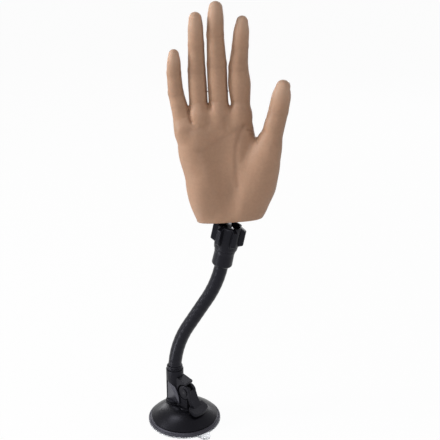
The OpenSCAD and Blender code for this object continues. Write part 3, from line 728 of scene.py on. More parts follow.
def rise(x: np.ndarray, low: float, high: float) -> np.ndarray:
    """A smooth step from 0 at low to 1 at high."""
    t = np.clip((x - low) / (high - low), 0, 1)
    return t * t * (3 - 2 * t)


def bell(x: np.ndarray, width: float) -> np.ndarray:
    """A bell curve, 1 at 0."""
    return np.exp(-((x / width) ** 2))


def blurred(values: np.ndarray, half: int) -> np.ndarray:
    """Values smoothed by a bell that spreads over nine samples and is cut off half out."""
    kernel = np.exp(-0.5 * (np.arange(-half, half + 1) / 9.0) ** 2)
    return np.convolve(np.pad(values, half, mode="edge"), kernel / kernel.sum(), "valid")


def boxy(x: np.ndarray, y: np.ndarray) -> np.ndarray:
    """Scaled radius of a rounded oblong section whose sides are at x and y of 1."""
    square = 2.5
    return (x**square + y**square) ** (1 / square)


def egg(p: np.ndarray, at: Sequence[float], radii: Sequence[float]) -> np.ndarray:
    """Distance to an ellipsoid: its scaled radius less one, times its size on that side.

    Args:
        p: points.
        at: the ellipsoid's middle.
        radii: its three radii.

    Returns:
        The distance, below zero inside.
    """
    least = 1e-6
    q = (p - np.array(at, np.float32)) / np.array(radii, np.float32)
    length = np.sqrt((q * q).sum(-1)) + least
    slope = np.sqrt(((q / np.array(radii, np.float32)) ** 2).sum(-1)) + least
    return length * (length - 1) / slope


def to_line(x: np.ndarray, z: np.ndarray, line: Line) -> np.ndarray:
    """Distance in the X-Z plane to a polyline: the least of those to its stretches.

    Args:
        x: first coordinates of the points.
        z: second coordinates.
        line: corners of the polyline.

    Returns:
        The distance.
    """
    far = 1e3
    best = np.full(x.shape, far, np.float32)
    for (x0, z0), (x1, z1) in zip(line[:-1], line[1:]):
        dx, dz = x1 - x0, z1 - z0
        t = np.clip(((x - x0) * dx + (z - z0) * dz) / (dx * dx + dz * dz), 0, 1)
        best = np.minimum(best, np.hypot(x - x0 - t * dx, z - z0 - t * dz))
    return best


@dataclass
class Digit:
    """A finger or the thumb: its hinges, its widths and where its skin bends."""

    name: str
    widths: tuple[float, ...]
    flat: float = 0.92
    nail_length: float = 13.0
    nail_over: float = -1.4
    start: float = -1.5
    bulge: float = 0.0
    swell: float = 0.5
    root_reach: float = 30.0
    root_stub: float = 14.0
    root_bend: float = 15.0
    half_bend: float = 7.5
    pad: tuple[float, ...] = (0.16, 0.9, 0.86, 0.42)  # drop and three radii, as shares
    tip_pad: tuple[float, ...] = (0.2, 0.88, 0.84, 0.44)
    pad_soft: float = 1.2
    bone_soft: float = 1.0
    bed_soft: float = 0.5
    fold_width: float = 1.2
    root_fold: Line = ((0.0, 0.12),)  # place past the joint and depth
    mid_folds: Line = ((-1.2, 0.24), (1.5, 0.16))
    tip_fold: Line = ((0.0, 0.2),)
    points: np.ndarray = field(init=False)
    bodies: list[str] = field(init=False)

    def __post_init__(self) -> None:
        """Takes the hinges from the frame and works out each bone's axes."""
        labels = ("root", "mid", "tip") if len(self.widths) == 4 else ("root", "tip")
        self.bodies = [f"{self.name}_{label}" for label in labels]
        names = [f"{body}_bend" for body in self.bodies] + [f"{self.name}_nail_pull"]
        self.centre = joint_at("ball_tilt")
        self.points = np.array([joint_at(name) for name in names]) - self.centre
        self.lengths = np.linalg.norm(np.diff(self.points, axis=0), axis=1)
        self.along = np.diff(self.points, axis=0) / self.lengths[:, None]
        sign = 1 if len(self.widths) == 4 else -1
        self.across = np.array([sign * joint_axis(f"{body}_bend") for body in self.bodies])
        self.back = np.cross(self.along, self.across)
        self.ends = np.concatenate([[0], np.cumsum(self.lengths)])
        self.reach, self.size = self._profile()

    def _profile(self) -> tuple[np.ndarray, np.ndarray]:
        """Half width along the digit: full at the joints, slimmer between them, smoothed.

        Returns:
            Places along the digit and the half width at each.
        """
        w = np.array(self.widths) / 2
        e = self.ends
        flare_at, step, half = -8.0, 0.25, 20
        keys, sizes = [-self.root_reach, flare_at], [w[0] + 2.4 * self.swell, w[0] + self.swell]
        for i in range(len(w) - 2):
            keys += [e[i], (e[i] + e[i + 1]) / 2, e[i + 1] - 1]
            sizes += [w[i], (w[i] + w[i + 1]) / 2 + (self.bulge if i == 0 else 0), w[i + 1] + 0.1]
        tip = e[-1] - e[-2]
        keys += [e[-2] + 0.3 * tip, e[-2] + 0.55 * tip, e[-2] + 0.75 * tip, e[-1]]
        sizes += [w[-2] - 0.1, w[-2] - 0.3, (w[-2] + w[-1]) / 2 - 0.3, w[-1] - 0.7]
        s = np.arange(-self.root_reach, e[-1] + 1, step)
        return s, blurred(np.interp(s, keys, sizes), half)

    def local(self, p: np.ndarray, i: int) -> tuple[np.ndarray, np.ndarray, np.ndarray]:
        """Coordinates of points in the frame of a bone.

        Args:
            p: points in millimetres from the ball's centre.
            i: number of the bone.

        Returns:
            How far across, towards the back and along the bone, from its hinge.
        """
        q = p - self.points[i].astype(np.float32)
        axes = np.array([self.across[i], self.back[i], self.along[i]], np.float32)
        return q @ axes[0], q @ axes[1], q @ axes[2]

    def field(self, p: np.ndarray) -> tuple[np.ndarray, np.ndarray, np.ndarray]:
        """Distance to the digit: to the nearest bone line less the half width there.

        Pads swell the palm side, creases cut in at the joints, and the nail's bed is flat.

        Args:
            p: points in millimetres from the ball's centre.

        Returns:
            The distance, the depth of creases, and the place along the digit.
        """
        total, place, palm_side = None, None, None
        last = len(self.lengths) - 1
        for i, length in enumerate(self.lengths):
            u, v, t = self.local(p, i)
            top = length - (self.size[-1] if i == last else 0)
            inside = np.clip(t, -self.root_stub if i == 0 else 0.0, top)
            s = self.ends[i] + inside
            r = np.interp(s, self.reach, self.size).astype(np.float32)
            d = np.sqrt(u * u + (v / self.flat) ** 2 + (t - inside) ** 2) - r
            w = (self.widths[i] + self.widths[i + 1]) / 4
            drop, wide, deep, long = self.pad if i < last else self.tip_pad
            centre = (length * 0.5) * self.along[i] - drop * w * self.back[i] + self.points[i]
            pad = self._pad(p, i, centre, (wide * w, deep * w, long * length))
            d = smooth_least(d, pad, self.pad_soft)
            nearer = None if total is None else d < total
            place = s if total is None else np.where(nearer, s, place)
            palm_side = -v / r if total is None else np.where(nearer, -v / r, palm_side)
            total = d if total is None else smooth_least(total, d, self.bone_soft)
        groove = self._creases(place, palm_side)
        total = smooth_most(total + groove, self._nail_bed(p), self.bed_soft)
        return total, groove, place

    def _pad(self, p: np.ndarray, i: int, centre: np.ndarray, radii: Point) -> np.ndarray:
        """Distance to an ellipsoid whose axes follow a bone.

        Args:
            p: points in millimetres from the ball's centre.
            i: number of the bone.
            centre: the ellipsoid's middle.
            radii: its radii across, towards the back and along the bone.

        Returns:
            The distance.
        """
        q = p - centre.astype(np.float32)
        axes = np.array([self.across[i], self.back[i], self.along[i]], np.float32)
        return egg(q @ axes.T, (0, 0, 0), radii)

    def _creases(self, s: np.ndarray, palm_side: np.ndarray) -> np.ndarray:
        """Depth of the folds: narrow bells across the palm side, ripples over the knuckles.

        Args:
            s: places along the digit.
            palm_side: how far to the palm side, in half widths.

        Returns:
            The depth.
        """
        ripple, ripple_length, ripple_turns = 0.22, 3.6, 2.7
        front = rise(palm_side, 0.05, 0.6)
        rear = rise(-palm_side, 0.3, 0.8)
        depth = np.zeros(s.shape, np.float32)
        for k, joint in enumerate(self.ends[:-1]):
            lines = self.root_fold if k == 0 else self.mid_folds
            if k == len(self.ends) - 2 and len(self.ends) == 4:
                lines = self.tip_fold
            for offset, deep in lines:
                depth += deep * front * bell(s - joint - offset, self.fold_width)
            if k:
                wave = 0.5 + 0.5 * np.cos((s - joint) * ripple_turns)
                depth += ripple * rear * bell(s - joint, ripple_length) * wave
        return depth

    def nail_frame(self) -> tuple[float, float]:
        """Where the nail sits on the last bone.

        Returns:
            Radius of the nail's curve and where the nail starts along the bone.
        """
        w0, w1 = self.widths[-2:]
        past, share = 0.7, 0.93  # how far towards the last width, and its share
        radius = (w0 + (w1 - w0) * past) / 2 * share
        return radius, self.lengths[-1] - self.nail_length + self.nail_over

    def _nail_bed(self, p: np.ndarray) -> np.ndarray:
        """Field that is above zero where the nail and its groove need room.

        Args:
            p: points in millimetres from the ball's centre.

        Returns:
            The least of the distances past the groove's floor, sides and rear end.
        """
        r, z0 = self.nail_frame()
        sunk, rear_gap = 0.1, 2.2
        u, v, t = self.local(p, len(self.lengths) - 1)
        above = np.minimum(np.hypot(u, v) - (r - sunk), v - 0.3 * r)
        return np.minimum(above, np.minimum(t - z0 - rear_gap, 0.92 * r - np.abs(u)))

    def cut(self, index: int) -> tuple[np.ndarray, np.ndarray]:
        """Points where the skin over a hinge starts and ends bending.

        Args:
            index: number of the hinge from the root.

        Returns:
            The two points, in millimetres in the shared frame.
        """
        hinge = self.points[index] + self.centre
        if index == 0:
            end = self.start + self.root_bend
            return hinge + self.start * self.along[0], hinge + end * self.along[0]
        half = self.half_bend
        return hinge - half * self.along[index - 1], hinge + half * self.along[index]


@dataclass
class HandSkin:
    """The soft skin of the hand: one surface round all its forms, cut into pieces at the hinges."""

    step: float = 0.8
    slit: float = 0.45
    skew: float = 0.5
    skew_depth: float = 4.0
    low: Point = (-62.0, -28.0, 6.0)
    high: Point = (64.0, 27.0, 212.0)
    palm_end: float = 115.5
    end_soft: float = 6.0
    root_soft: float = 4.0
    slit_from: float = 3.0
    cut: Point = (13.2, 0.08, -0.16)  # height of the wrist's cut and its two slopes
    cut_soft: float = 1.2
    room_at: float = -0.4
    room: tuple[float, float] = (25.4, 14.8)
    room_top: float = 20.3
    room_scale: float = 13.0
    room_soft: float = 0.3
    rows: tuple[tuple[float, float, float, float], ...] = (  # height, middle, half sizes
        (4, -0.6, 27.6, 16.4), (16, -0.65, 27.95, 16.6), (24, 0.8, 29.6, 16.8),
        (31.5, 1.2, 31.6, 16.6), (46.6, -0.8, 34.4, 15.4), (61, -4.2, 33.4, 14.2),
        (75.7, -8.9, 33.7, 13.2), (90, -10.6, 33.3, 12.2), (102, -12.4, 32.4, 11.0),
        (110, -10.2, 28.2, 9.6), (118, -8.6, 26.0, 8.2),
    )
    creases: tuple[Fold, ...] = (
        (((12.6, 101.0), (8.6, 94.0), (6.0, 84.0), (5.4, 74.0), (5.8, 62.0), (7.4, 50.0)),
         0.5, 2.1),
        (((12.5, 102.6), (5.4, 97.3), (-3.8, 92.1), (-14.9, 85.0), (-26.0, 79.7)), 0.28, 2.4),
        (((16.0, 97.6), (20.8, 95.6), (24.6, 90.6)), 0.36, 1.1),
        (((18.4, 94.0), (21.6, 91.6), (24.0, 87.6)), 0.24, 1.0),
        (((-3.9, 109.0), (-2.6, 98.0)), 0.25, 2.0),
        (((-41.0, 96.0), (-28.0, 99.0), (-16.0, 105.0)), 0.2, 2.2),
    )
    webs: tuple[Fold, ...] = (
        (((-34.2, 113.0), (-33.0, 108.6), (-31.6, 105.0)), 0.9, 1.5),
        (((-32.6, 107.4), (-31.0, 103.8), (-28.6, 102.2)), 0.4, 1.7),
        (((-16.0, 117.6), (-15.2, 115.8)), 0.5, 1.4),
    )
    digits: list[Digit] = field(default_factory=lambda: [
        Digit("index", (16.8, 16.4, 13.6, 9.2), start=-2.0, bulge=1.5, swell=-0.5),
        Digit("middle", (16.8, 16.6, 14.2, 11.2), start=-2.5, bulge=0.2),
        Digit("ring", (15.8, 15.0, 13.4, 10.6), start=-3.0, bulge=0.3),
        Digit("little", (15.2, 13.2, 12.0, 8.2), start=-3.5),
        Digit("thumb", (19.0, 17.4, 11.2), nail_over=-0.6, start=-1.5),
    ])

    def palm_field(self, p: np.ndarray) -> tuple[np.ndarray, np.ndarray]:
        """Distance to the palm and the depth of its creases.

        The palm is a loft of rounded sections joined to the ball of the thumb, the heel of the
        hand, the pads and knuckles under the fingers, with a hollow pressed into its middle.

        Args:
            p: points in millimetres from the ball's centre.

        Returns:
            The distance and the depth of creases.
        """
        x, y, z = p[..., 0], p[..., 1], p[..., 2]
        heights, *columns = np.array(self.rows).T
        zs = np.arange(0, 130, 0.5)
        mid, wide, thick = (
            np.interp(z, zs, blurred(np.interp(zs, heights, column), 24)).astype(np.float32)
            for column in columns
        )
        d = (boxy(np.abs(x - mid) / wide, np.abs(y) / thick) - 1) * thick * 0.95
        d = smooth_most(d, z - self.palm_end, self.end_soft)
        for at, radii, k in self._masses():
            d = smooth_least(d, egg(p, at, radii), k)
        for at, radii, k in self._hollows():
            d = smooth_most(d, -egg(p, at, radii), k)
        front = rise(-y, -3.0, 5.0)
        groove = np.zeros(x.shape, np.float32)
        for line, deep, width in self.creases:
            groove += deep * front * bell(to_line(x, z, line), width)
        return d + groove, groove

    def _masses(self) -> list[Form]:
        """Swellings of the palm: the ball of the thumb, the heel, and two under each finger.

        Returns:
            Place, radii and how softly each joins.
        """
        thumb = next(d for d in self.digits if d.name == "thumb")
        root = thumb.points[0]
        forms = [
            ((16, -6, 36), (17.5, 13.0, 22), 9.0),
            ((25, -6.5, 53), (16.5, 13.6, 21), 8.0),
            ((31, -7, 70), (13.0, 12.0, 19), 7.0),
            (tuple(root - 5 * thumb.along[0]), (10.2, 9.8, 13), 5.0),
            ((-21, -5.5, 47), (14.6, 12.6, 31), 7.0),
            ((-28.6, -3.5, 78), (12.8, 10.6, 26), 6.0),
        ]
        for digit in self.digits[:4]:
            root = digit.points[0]
            side = root[0] * 0.93 - 0.6
            forms.append(((side, -5.2, root[2] - 13), (7.6, 6.4, 10.5), 4.0))
            forms.append(((side, 4.8, root[2] - 18), (6.6, 6.8, 8.5), 5.0))
        return forms

    def _hollows(self) -> list[Form]:
        """Hollows of the palm: place, radii and how softly each is pressed in."""
        return [((-5, -23.5, 80), (14, 11.5, 24), 7.0), ((0, -24.5, 50), (7, 9.2, 26), 8.0)]

    def field(self, p: np.ndarray) -> tuple[np.ndarray, np.ndarray]:
        """Distance to the whole hand and the depth of its creases.

        Args:
            p: points in millimetres from the ball's centre.

        Returns:
            The distance and the depth of creases.
        """
        x, y, z = p[..., 0], p[..., 1], p[..., 2]
        d, groove = self.palm_field(p)
        fields = zip(*(digit.field(p) for digit in self.digits))
        parts, folds, _ = (np.stack(rows) for rows in fields)
        fingers = parts.min(0)
        fold_all = np.take_along_axis(folds, parts.argmin(0)[None], 0)[0]
        near = fingers < d
        whole = smooth_least(d, fingers, self.root_soft)
        sided = self._sided(parts, p)
        apart = np.abs(sided[1:4] - sided[:3]).min(0) / 2
        whole = np.maximum(whole, np.minimum(self.slit - apart, d - self.slit_from))
        web = np.zeros(d.shape, np.float32)
        for line, deep, width in self.webs:
            web += deep * rise(-y, -4.0, 2.0) * bell(to_line(x, z, line), width)
        whole = whole + web
        height, tilt_x, tilt_y = self.cut
        whole = smooth_most(whole, height + tilt_x * x + tilt_y * y - z, self.cut_soft)
        plate = smooth_most(self._inner(p), z - self.room_top, self.room_soft)
        whole = np.maximum(whole, -plate)
        # the crease depths, with a share of the webs between the fingers, mask the painted shade in
        # the skin's colour
        return whole, np.where(near, fold_all, groove) + 0.4 * web

    def _sided(self, parts: np.ndarray, p: np.ndarray) -> np.ndarray:
        """Distances to the digits, changed with depth so that the slits between them run askew."""
        rank = np.array([0, 1, 2, 3, 0], np.float32).reshape(-1, *([1] * (p.ndim - 1)))
        return parts - rank * self.skew * np.clip(p[..., 1], -self.skew_depth, self.skew_depth)

    def _inner(self, p: np.ndarray) -> np.ndarray:
        """Distance to the room of the wrist plate, a rounded section of constant size."""
        x, y = np.abs(p[..., 0] - self.room_at), np.abs(p[..., 1])
        return (boxy(x / self.room[0], y / self.room[1]) - 1) * self.room_scale

    def surface(self) -> tuple[np.ndarray, np.ndarray]:
        """The zero surface of the field: one corner per crossed cell, one quad per crossed edge.

        Each corner is the mean of the crossings on its cell's edges, then drawn onto the zero
        surface along the slope of the field.

        Returns:
            Corners in millimetres from the ball's centre, and quads.
        """
        ranges = zip(self.low, self.high)
        axes = [np.arange(low, high, self.step, dtype=np.float32) for low, high in ranges]
        shape = tuple(len(a) for a in axes)
        values = np.empty(shape, np.float32)
        layers = 32  # worked out at a time
        for start in range(0, shape[2], layers):
            band = slice(start, start + layers)
            block = np.stack(np.meshgrid(axes[0], axes[1], axes[2][band], indexing="ij"), -1)
            values[:, :, band] = self.field(block)[0]
        corner = np.array([[i, j, k] for i in (0, 1) for j in (0, 1) for k in (0, 1)])
        cells = tuple(n - 1 for n in shape)
        part = [values[i:i + cells[0], j:j + cells[1], k:k + cells[2]] for i, j, k in corner]
        inside = sum((v < 0).astype(np.int8) for v in part)
        active = (inside > 0) & (inside < 8)
        picked = [v[active] for v in part]
        total = np.zeros((len(picked[0]), 3))
        count = np.zeros(len(picked[0]))
        for a in range(8):
            for b in range(a + 1, 8):
                if np.abs(corner[a] - corner[b]).sum() != 1:
                    continue
                fa, fb = picked[a], picked[b]
                crossed = (fa < 0) != (fb < 0)
                t = np.where(crossed, fa / np.where(crossed, fa - fb, 1), 0)
                total += crossed[:, None] * (corner[a] + t[:, None] * (corner[b] - corner[a]))
                count += crossed
        base = np.argwhere(active)
        points = (base + total / count[:, None]) * self.step + np.array(self.low)
        number = np.full(cells, -1, np.int64)
        number[active] = np.arange(len(base))
        quads = [self._quads(values, number, axis) for axis in range(3)]
        return self._settle(points), np.concatenate(quads)

    @staticmethod
    def _quads(values: np.ndarray, number: np.ndarray, axis: int) -> np.ndarray:
        """Quads round the crossed grid edges that run along one axis.

        Args:
            values: the field on the grid.
            number: corner number of each cell, or -1.
            axis: the axis of the edges.

        Returns:
            Corner numbers, four a row, facing outwards.
        """
        v = np.moveaxis(values, axis, 0)
        n = np.moveaxis(number, axis, 0)
        low, high = v[:-1, 1:-1, 1:-1] < 0, v[1:, 1:-1, 1:-1] < 0
        crossed = low != high
        ring = [n[:, :-1, :-1], n[:, 1:, :-1], n[:, 1:, 1:], n[:, :-1, 1:]]
        quads = np.stack([r[crossed] for r in ring], -1)
        flip = low[crossed] == (axis == 1)
        quads[flip] = quads[flip][:, ::-1]
        return quads

    def slope(self, points: np.ndarray) -> np.ndarray:
        """Slope of the field, by differences over a fifth of a millimetre each way.

        Args:
            points: points in millimetres from the ball's centre.

        Returns:
            The slope, one row a point.
        """
        h = 0.2
        parts = []
        for axis in range(3):
            shift = np.zeros(3)
            shift[axis] = h
            ahead = self.field((points + shift).astype(np.float32))[0]
            behind = self.field((points - shift).astype(np.float32))[0]
            parts.append((ahead - behind) / (2 * h))
        return np.stack(parts, -1)

    def _settle(self, points: np.ndarray) -> np.ndarray:
        """Draws corners onto the zero surface, twice, by at most half a step each time.

        Args:
            points: corners in millimetres from the ball's centre.

        Returns:
            The drawn corners.
        """
        least_slope = 0.05
        for _ in range(2):
            slope = self.slope(points)
            value = self.field(points.astype(np.float32))[0]
            move = slope * (value / np.maximum((slope**2).sum(-1), least_slope))[:, None]
            length = np.linalg.norm(move, axis=1)[:, None]
            points = points - move * np.minimum(1, 0.5 * self.step / np.maximum(length, TINY))
        return points

    def build(self) -> None:
        """Makes the surface and cuts it into pieces at the hinges."""
        points, quads = self.surface()
        slope = self.slope(points)
        normals = slope / np.maximum(np.linalg.norm(slope, axis=1)[:, None], TINY)
        groove = self.field(points.astype(np.float32))[1]
        owner, tip = self._owners(points)
        face_owner = owner[quads].max(1)
        centre = self.digits[0].centre
        names = ["palm_skin"] + [f"{body}_skin" for d in self.digits for body in d.bodies]
        hinges = [None] + [(d, i) for d in self.digits for i in range(len(d.bodies))]
        for number, (name, hinge) in enumerate(zip(names, hinges)):
            used, faces = np.unique(quads[face_owner == number], return_inverse=True)
            piece = add_piece(f"soft_{name}", points[used] + centre, faces.reshape(-1, 4).tolist(),
                              SKIN, closed=False)
            # masks for the painted shade in the creases and the painted light on the fingertips
            store(piece, "crease", groove[used] * 1.25)
            store(piece, "tip", tip[used])
            piece.data.normals_split_custom_set_from_vertices(normals[used].tolist())
            stand_for([name])
            if hinge is None:
                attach(piece, "palm")
                continue
            digit, i = hinge
            start, end = digit.cut(i)
            before = "palm" if i == 0 else digit.bodies[i - 1]
            tuple(start * MM)
            tuple(end * MM)
            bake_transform(piece)

    def _owners(self, points: np.ndarray) -> tuple[np.ndarray, np.ndarray]:
        """Which piece each corner belongs to, and how near it is to a fingertip.

        Args:
            points: corners in millimetres from the ball's centre.

        Returns:
            Piece numbers, 0 for the palm, and a number from 0 to 1 at the tips.
        """
        fields = [d.field(points.astype(np.float32)) for d in self.digits]
        nearest = np.argmin(self._sided(np.stack([f[0] for f in fields]), points), 0)
        owner = np.zeros(len(points), int)
        tip = np.zeros(len(points))
        first = 1
        for k, digit in enumerate(self.digits):
            mine = nearest == k
            for i in range(len(digit.bodies)):
                if i == 0:
                    past = (points - digit.points[0]) @ digit.along[0] > digit.start
                else:
                    middle = (digit.points[i - 1] + digit.points[i]) / 2
                    past = (points - middle) @ digit.along[i - 1] > 0
                owner[mine & past] = first + i
            s = fields[k][2]
            tip = np.where(mine, rise(s, digit.ends[-2] + 2, digit.ends[-1] - 3), tip)
            first += len(digit.bodies)
        return owner, tip


@dataclass
class Nails:
    """The five nails: thin curved plates, each in the groove on the back of its fingertip."""

    digits: list[Digit]
    thick: float = 0.7
    spread: float = 60.0
    taper: float = 0.12
    round_end: float = 0.16
    drop: float = 1.7
    gap: float = 0.05
    thin_from: float = 0.86
    thin_by: float = 0.45
    ridges: float = 70.0
    rows: int = 41
    columns: int = 33

    def build(self) -> None:
        """Builds each nail and lets it ride on its own body."""
        for digit in self.digits:
            self._nail(digit)

    def _nail(self, digit: Digit) -> None:
        """One nail: an arc swept along the finger, arched lengthwise, its free end rounded.

        Args:
            digit: the finger that carries it.
        """
        radius, start = digit.nail_frame()
        u = np.linspace(-1, 1, self.columns)[None, :]
        v = np.linspace(0, 1, self.rows)[:, None]
        angle = np.radians(self.spread) * u
        taper = 1 - self.taper * v**2
        z = start + digit.nail_length * (v - self.round_end * v * u**2)
        drop = self.drop * v**2
        thin = np.clip((np.abs(u) - self.thin_from) / (1 - self.thin_from), 0, 1) ** 2
        shells = []
        for lift in (0.0, self.thick):
            r = radius + self.gap + lift * (1 - thin * self.thin_by)
            x, y = r * np.sin(angle) * taper, r * np.cos(angle) - drop
            shells.append(np.stack(np.broadcast_arrays(x, y, z), -1))
        points, faces = self._close(*shells)
        axes = np.array([digit.across[-1], digit.back[-1], digit.along[-1]])
        points = framed(points, digit.points[-2] + digit.centre, axes)
        piece = add_piece(f"plate_{digit.name}_nail", points, faces, NAIL, Shading.EDGED)
        ridge = 0.5 + 0.5 * np.cos(u * self.ridges)
        for name, value in (("reach", v), ("ridge", ridge)):
            layer = np.broadcast_to(value, (self.rows, self.columns)).ravel()
            store(piece, name, np.concatenate([layer, layer]))
        stand_for([f"{digit.name}_nail"])
        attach(piece, f"{digit.name}_nail")

    @staticmethod
    def _close(under: np.ndarray, over: np.ndarray) -> Shape:
        """Joins two grids of one size along their rims into a closed plate.

        Args:
            under: the lower grid of points.
            over: the upper grid of points.

        Returns:
            Corners and faces.
        """
        rows, columns = under.shape[:2]
        index = np.arange(rows * columns).reshape(rows, columns)
        quads = sheet_quads(rows, columns)
        rim = np.concatenate([index[0, :-1], index[:-1, -1], index[-1, :0:-1], index[:0:-1, 0]])
        nxt = np.roll(rim, -1)
        count = rows * columns
        wall = np.stack([rim, nxt, nxt + count, rim + count], -1)
        faces = np.concatenate([quads[:, ::-1], quads + count, wall])
        return np.concatenate([under.reshape(-1, 3), over.reshape(-1, 3)]), faces.tolist()


# The stand


@dataclass
class BendArm:
    """The bendable arm: a smooth black sleeve along two curves with a straight between them."""

    radius: float = 6.4
    core_r: float = 2.0
    ripple: float = 0.05
    ripple_turns: float = 0.9
    sides: int = 48
    core_sides: int = 20
    foot: Point = (-9.0565, 7.8727, 48.0)
    azimuth: float = -10.0
    lower_radius: float = 99.0
    lean: float = 31.0
    straight: float = 34.5
    upper_radius: float = 113.5
    top_lean: float = 11.5
    below: float = 6.0
    above: float = 3.0
    third_hinge: float = 4.0

    def __post_init__(self) -> None:
        """Works out where the curves end along the arm."""
        self.end1 = self.lower_radius * math.radians(self.lean)
        self.end2 = self.end1 + self.straight
        self.end3 = self.end2 + self.upper_radius * math.radians(self.lean - self.top_lean)

    def lean_at(self, s: np.ndarray) -> np.ndarray:
        """Lean along the arm: rising, steady, then falling.

        Args:
            s: lengths along the arm.

        Returns:
            The lean in radians.
        """
        most = math.radians(self.lean)
        up, down = s / self.lower_radius, most - (s - self.end2) / self.upper_radius
        lean = np.where(s <= self.end1, up, np.where(s <= self.end2, most, down))
        return np.clip(lean, 0, most)

    def path(self, s: np.ndarray) -> tuple[np.ndarray, np.ndarray, np.ndarray]:
        """Points along the arm: the running sum of its direction from its foot.

        Args:
            s: lengths along the arm.

        Returns:
            Points and the two unit vectors across the arm, in the shared frame.
        """
        fine = np.linspace(-8, self.end3 + 20, 6000)  # reaches past both ends
        lean = self.lean_at(np.clip(fine, 0, self.end3))
        gap = fine[1] - fine[0]
        run = np.cumsum(np.sin(lean)) * gap
        climb = np.cumsum(np.cos(lean)) * gap
        zero = np.argmin(np.abs(fine))
        run, climb = run - run[zero], climb - climb[zero]
        x, z = np.interp(s, fine, run), np.interp(s, fine, climb)
        a = math.radians(self.azimuth)
        points = np.stack([x * math.cos(a), x * math.sin(a), z], -1) + np.array(self.foot)
        tilt = self.lean_at(np.clip(s, 0, self.end3))
        flat = np.cos(tilt)
        across = np.stack([flat * math.cos(a), flat * math.sin(a), -np.sin(tilt)], -1)
        up = np.broadcast_to(np.array([-math.sin(a), math.cos(a), 0.0]), across.shape)
        return points, across, up

    def axes_at_top(self) -> tuple[np.ndarray, np.ndarray]:
        """Top end of the arm and its frame there, rows across, sideways and along."""
        point, across, up = self.path(np.array([self.end3]))
        return point[0], np.stack([across[0], up[0], np.cross(across[0], up[0])])

    def build(self) -> None:
        """Builds the sleeve and its wire core in four lengths, one round each joint."""
        hinges = [self.end1 / 2, self.end1, self.end2 - self.third_hinge,
                  (self.end2 + self.end3) / 2]
        middles = ((a + b) / 2 for a, b in zip(hinges[:-1], hinges[1:]))
        ends = [-self.below, *middles, self.end3 + self.above]
        share = 0.9  # of the shorter side of a hinge that bends
        bodies = ["base", "link_2", "link_3", "link_4", "socket"]
        nodes = [["arm_1", "arm_2"], ["arm_3"], ["arm_4"], ["arm_5"]]
        for i, hinge in enumerate(hinges):
            s = np.linspace(ends[i], ends[i + 1], 64)
            points, across, up = self.path(s)
            radius = self.radius + self.ripple * np.sin(s * self.ripple_turns)
            mesh = sweep(points, across, up, radius, self.sides)
            piece = add_piece(f"sleeve_{i + 1}", *mesh, ARM_SLEEVE, Shading.EDGED)
            stand_for(nodes[i])
            mesh = sweep(points, across, up, np.full_like(s, self.core_r), self.core_sides)
            core = add_piece(f"wire_core_{i + 1}", *mesh, STEEL, Shading.EDGED)
            if i == 0:
                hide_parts("arm_core")
            span = min(hinge - ends[i], ends[i + 1] - hinge) * share
            bend = self.path(np.array([hinge - span, hinge + span]))[0] * MM
            for part in (piece, core):
                bodies[i + 1]
                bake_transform(part)


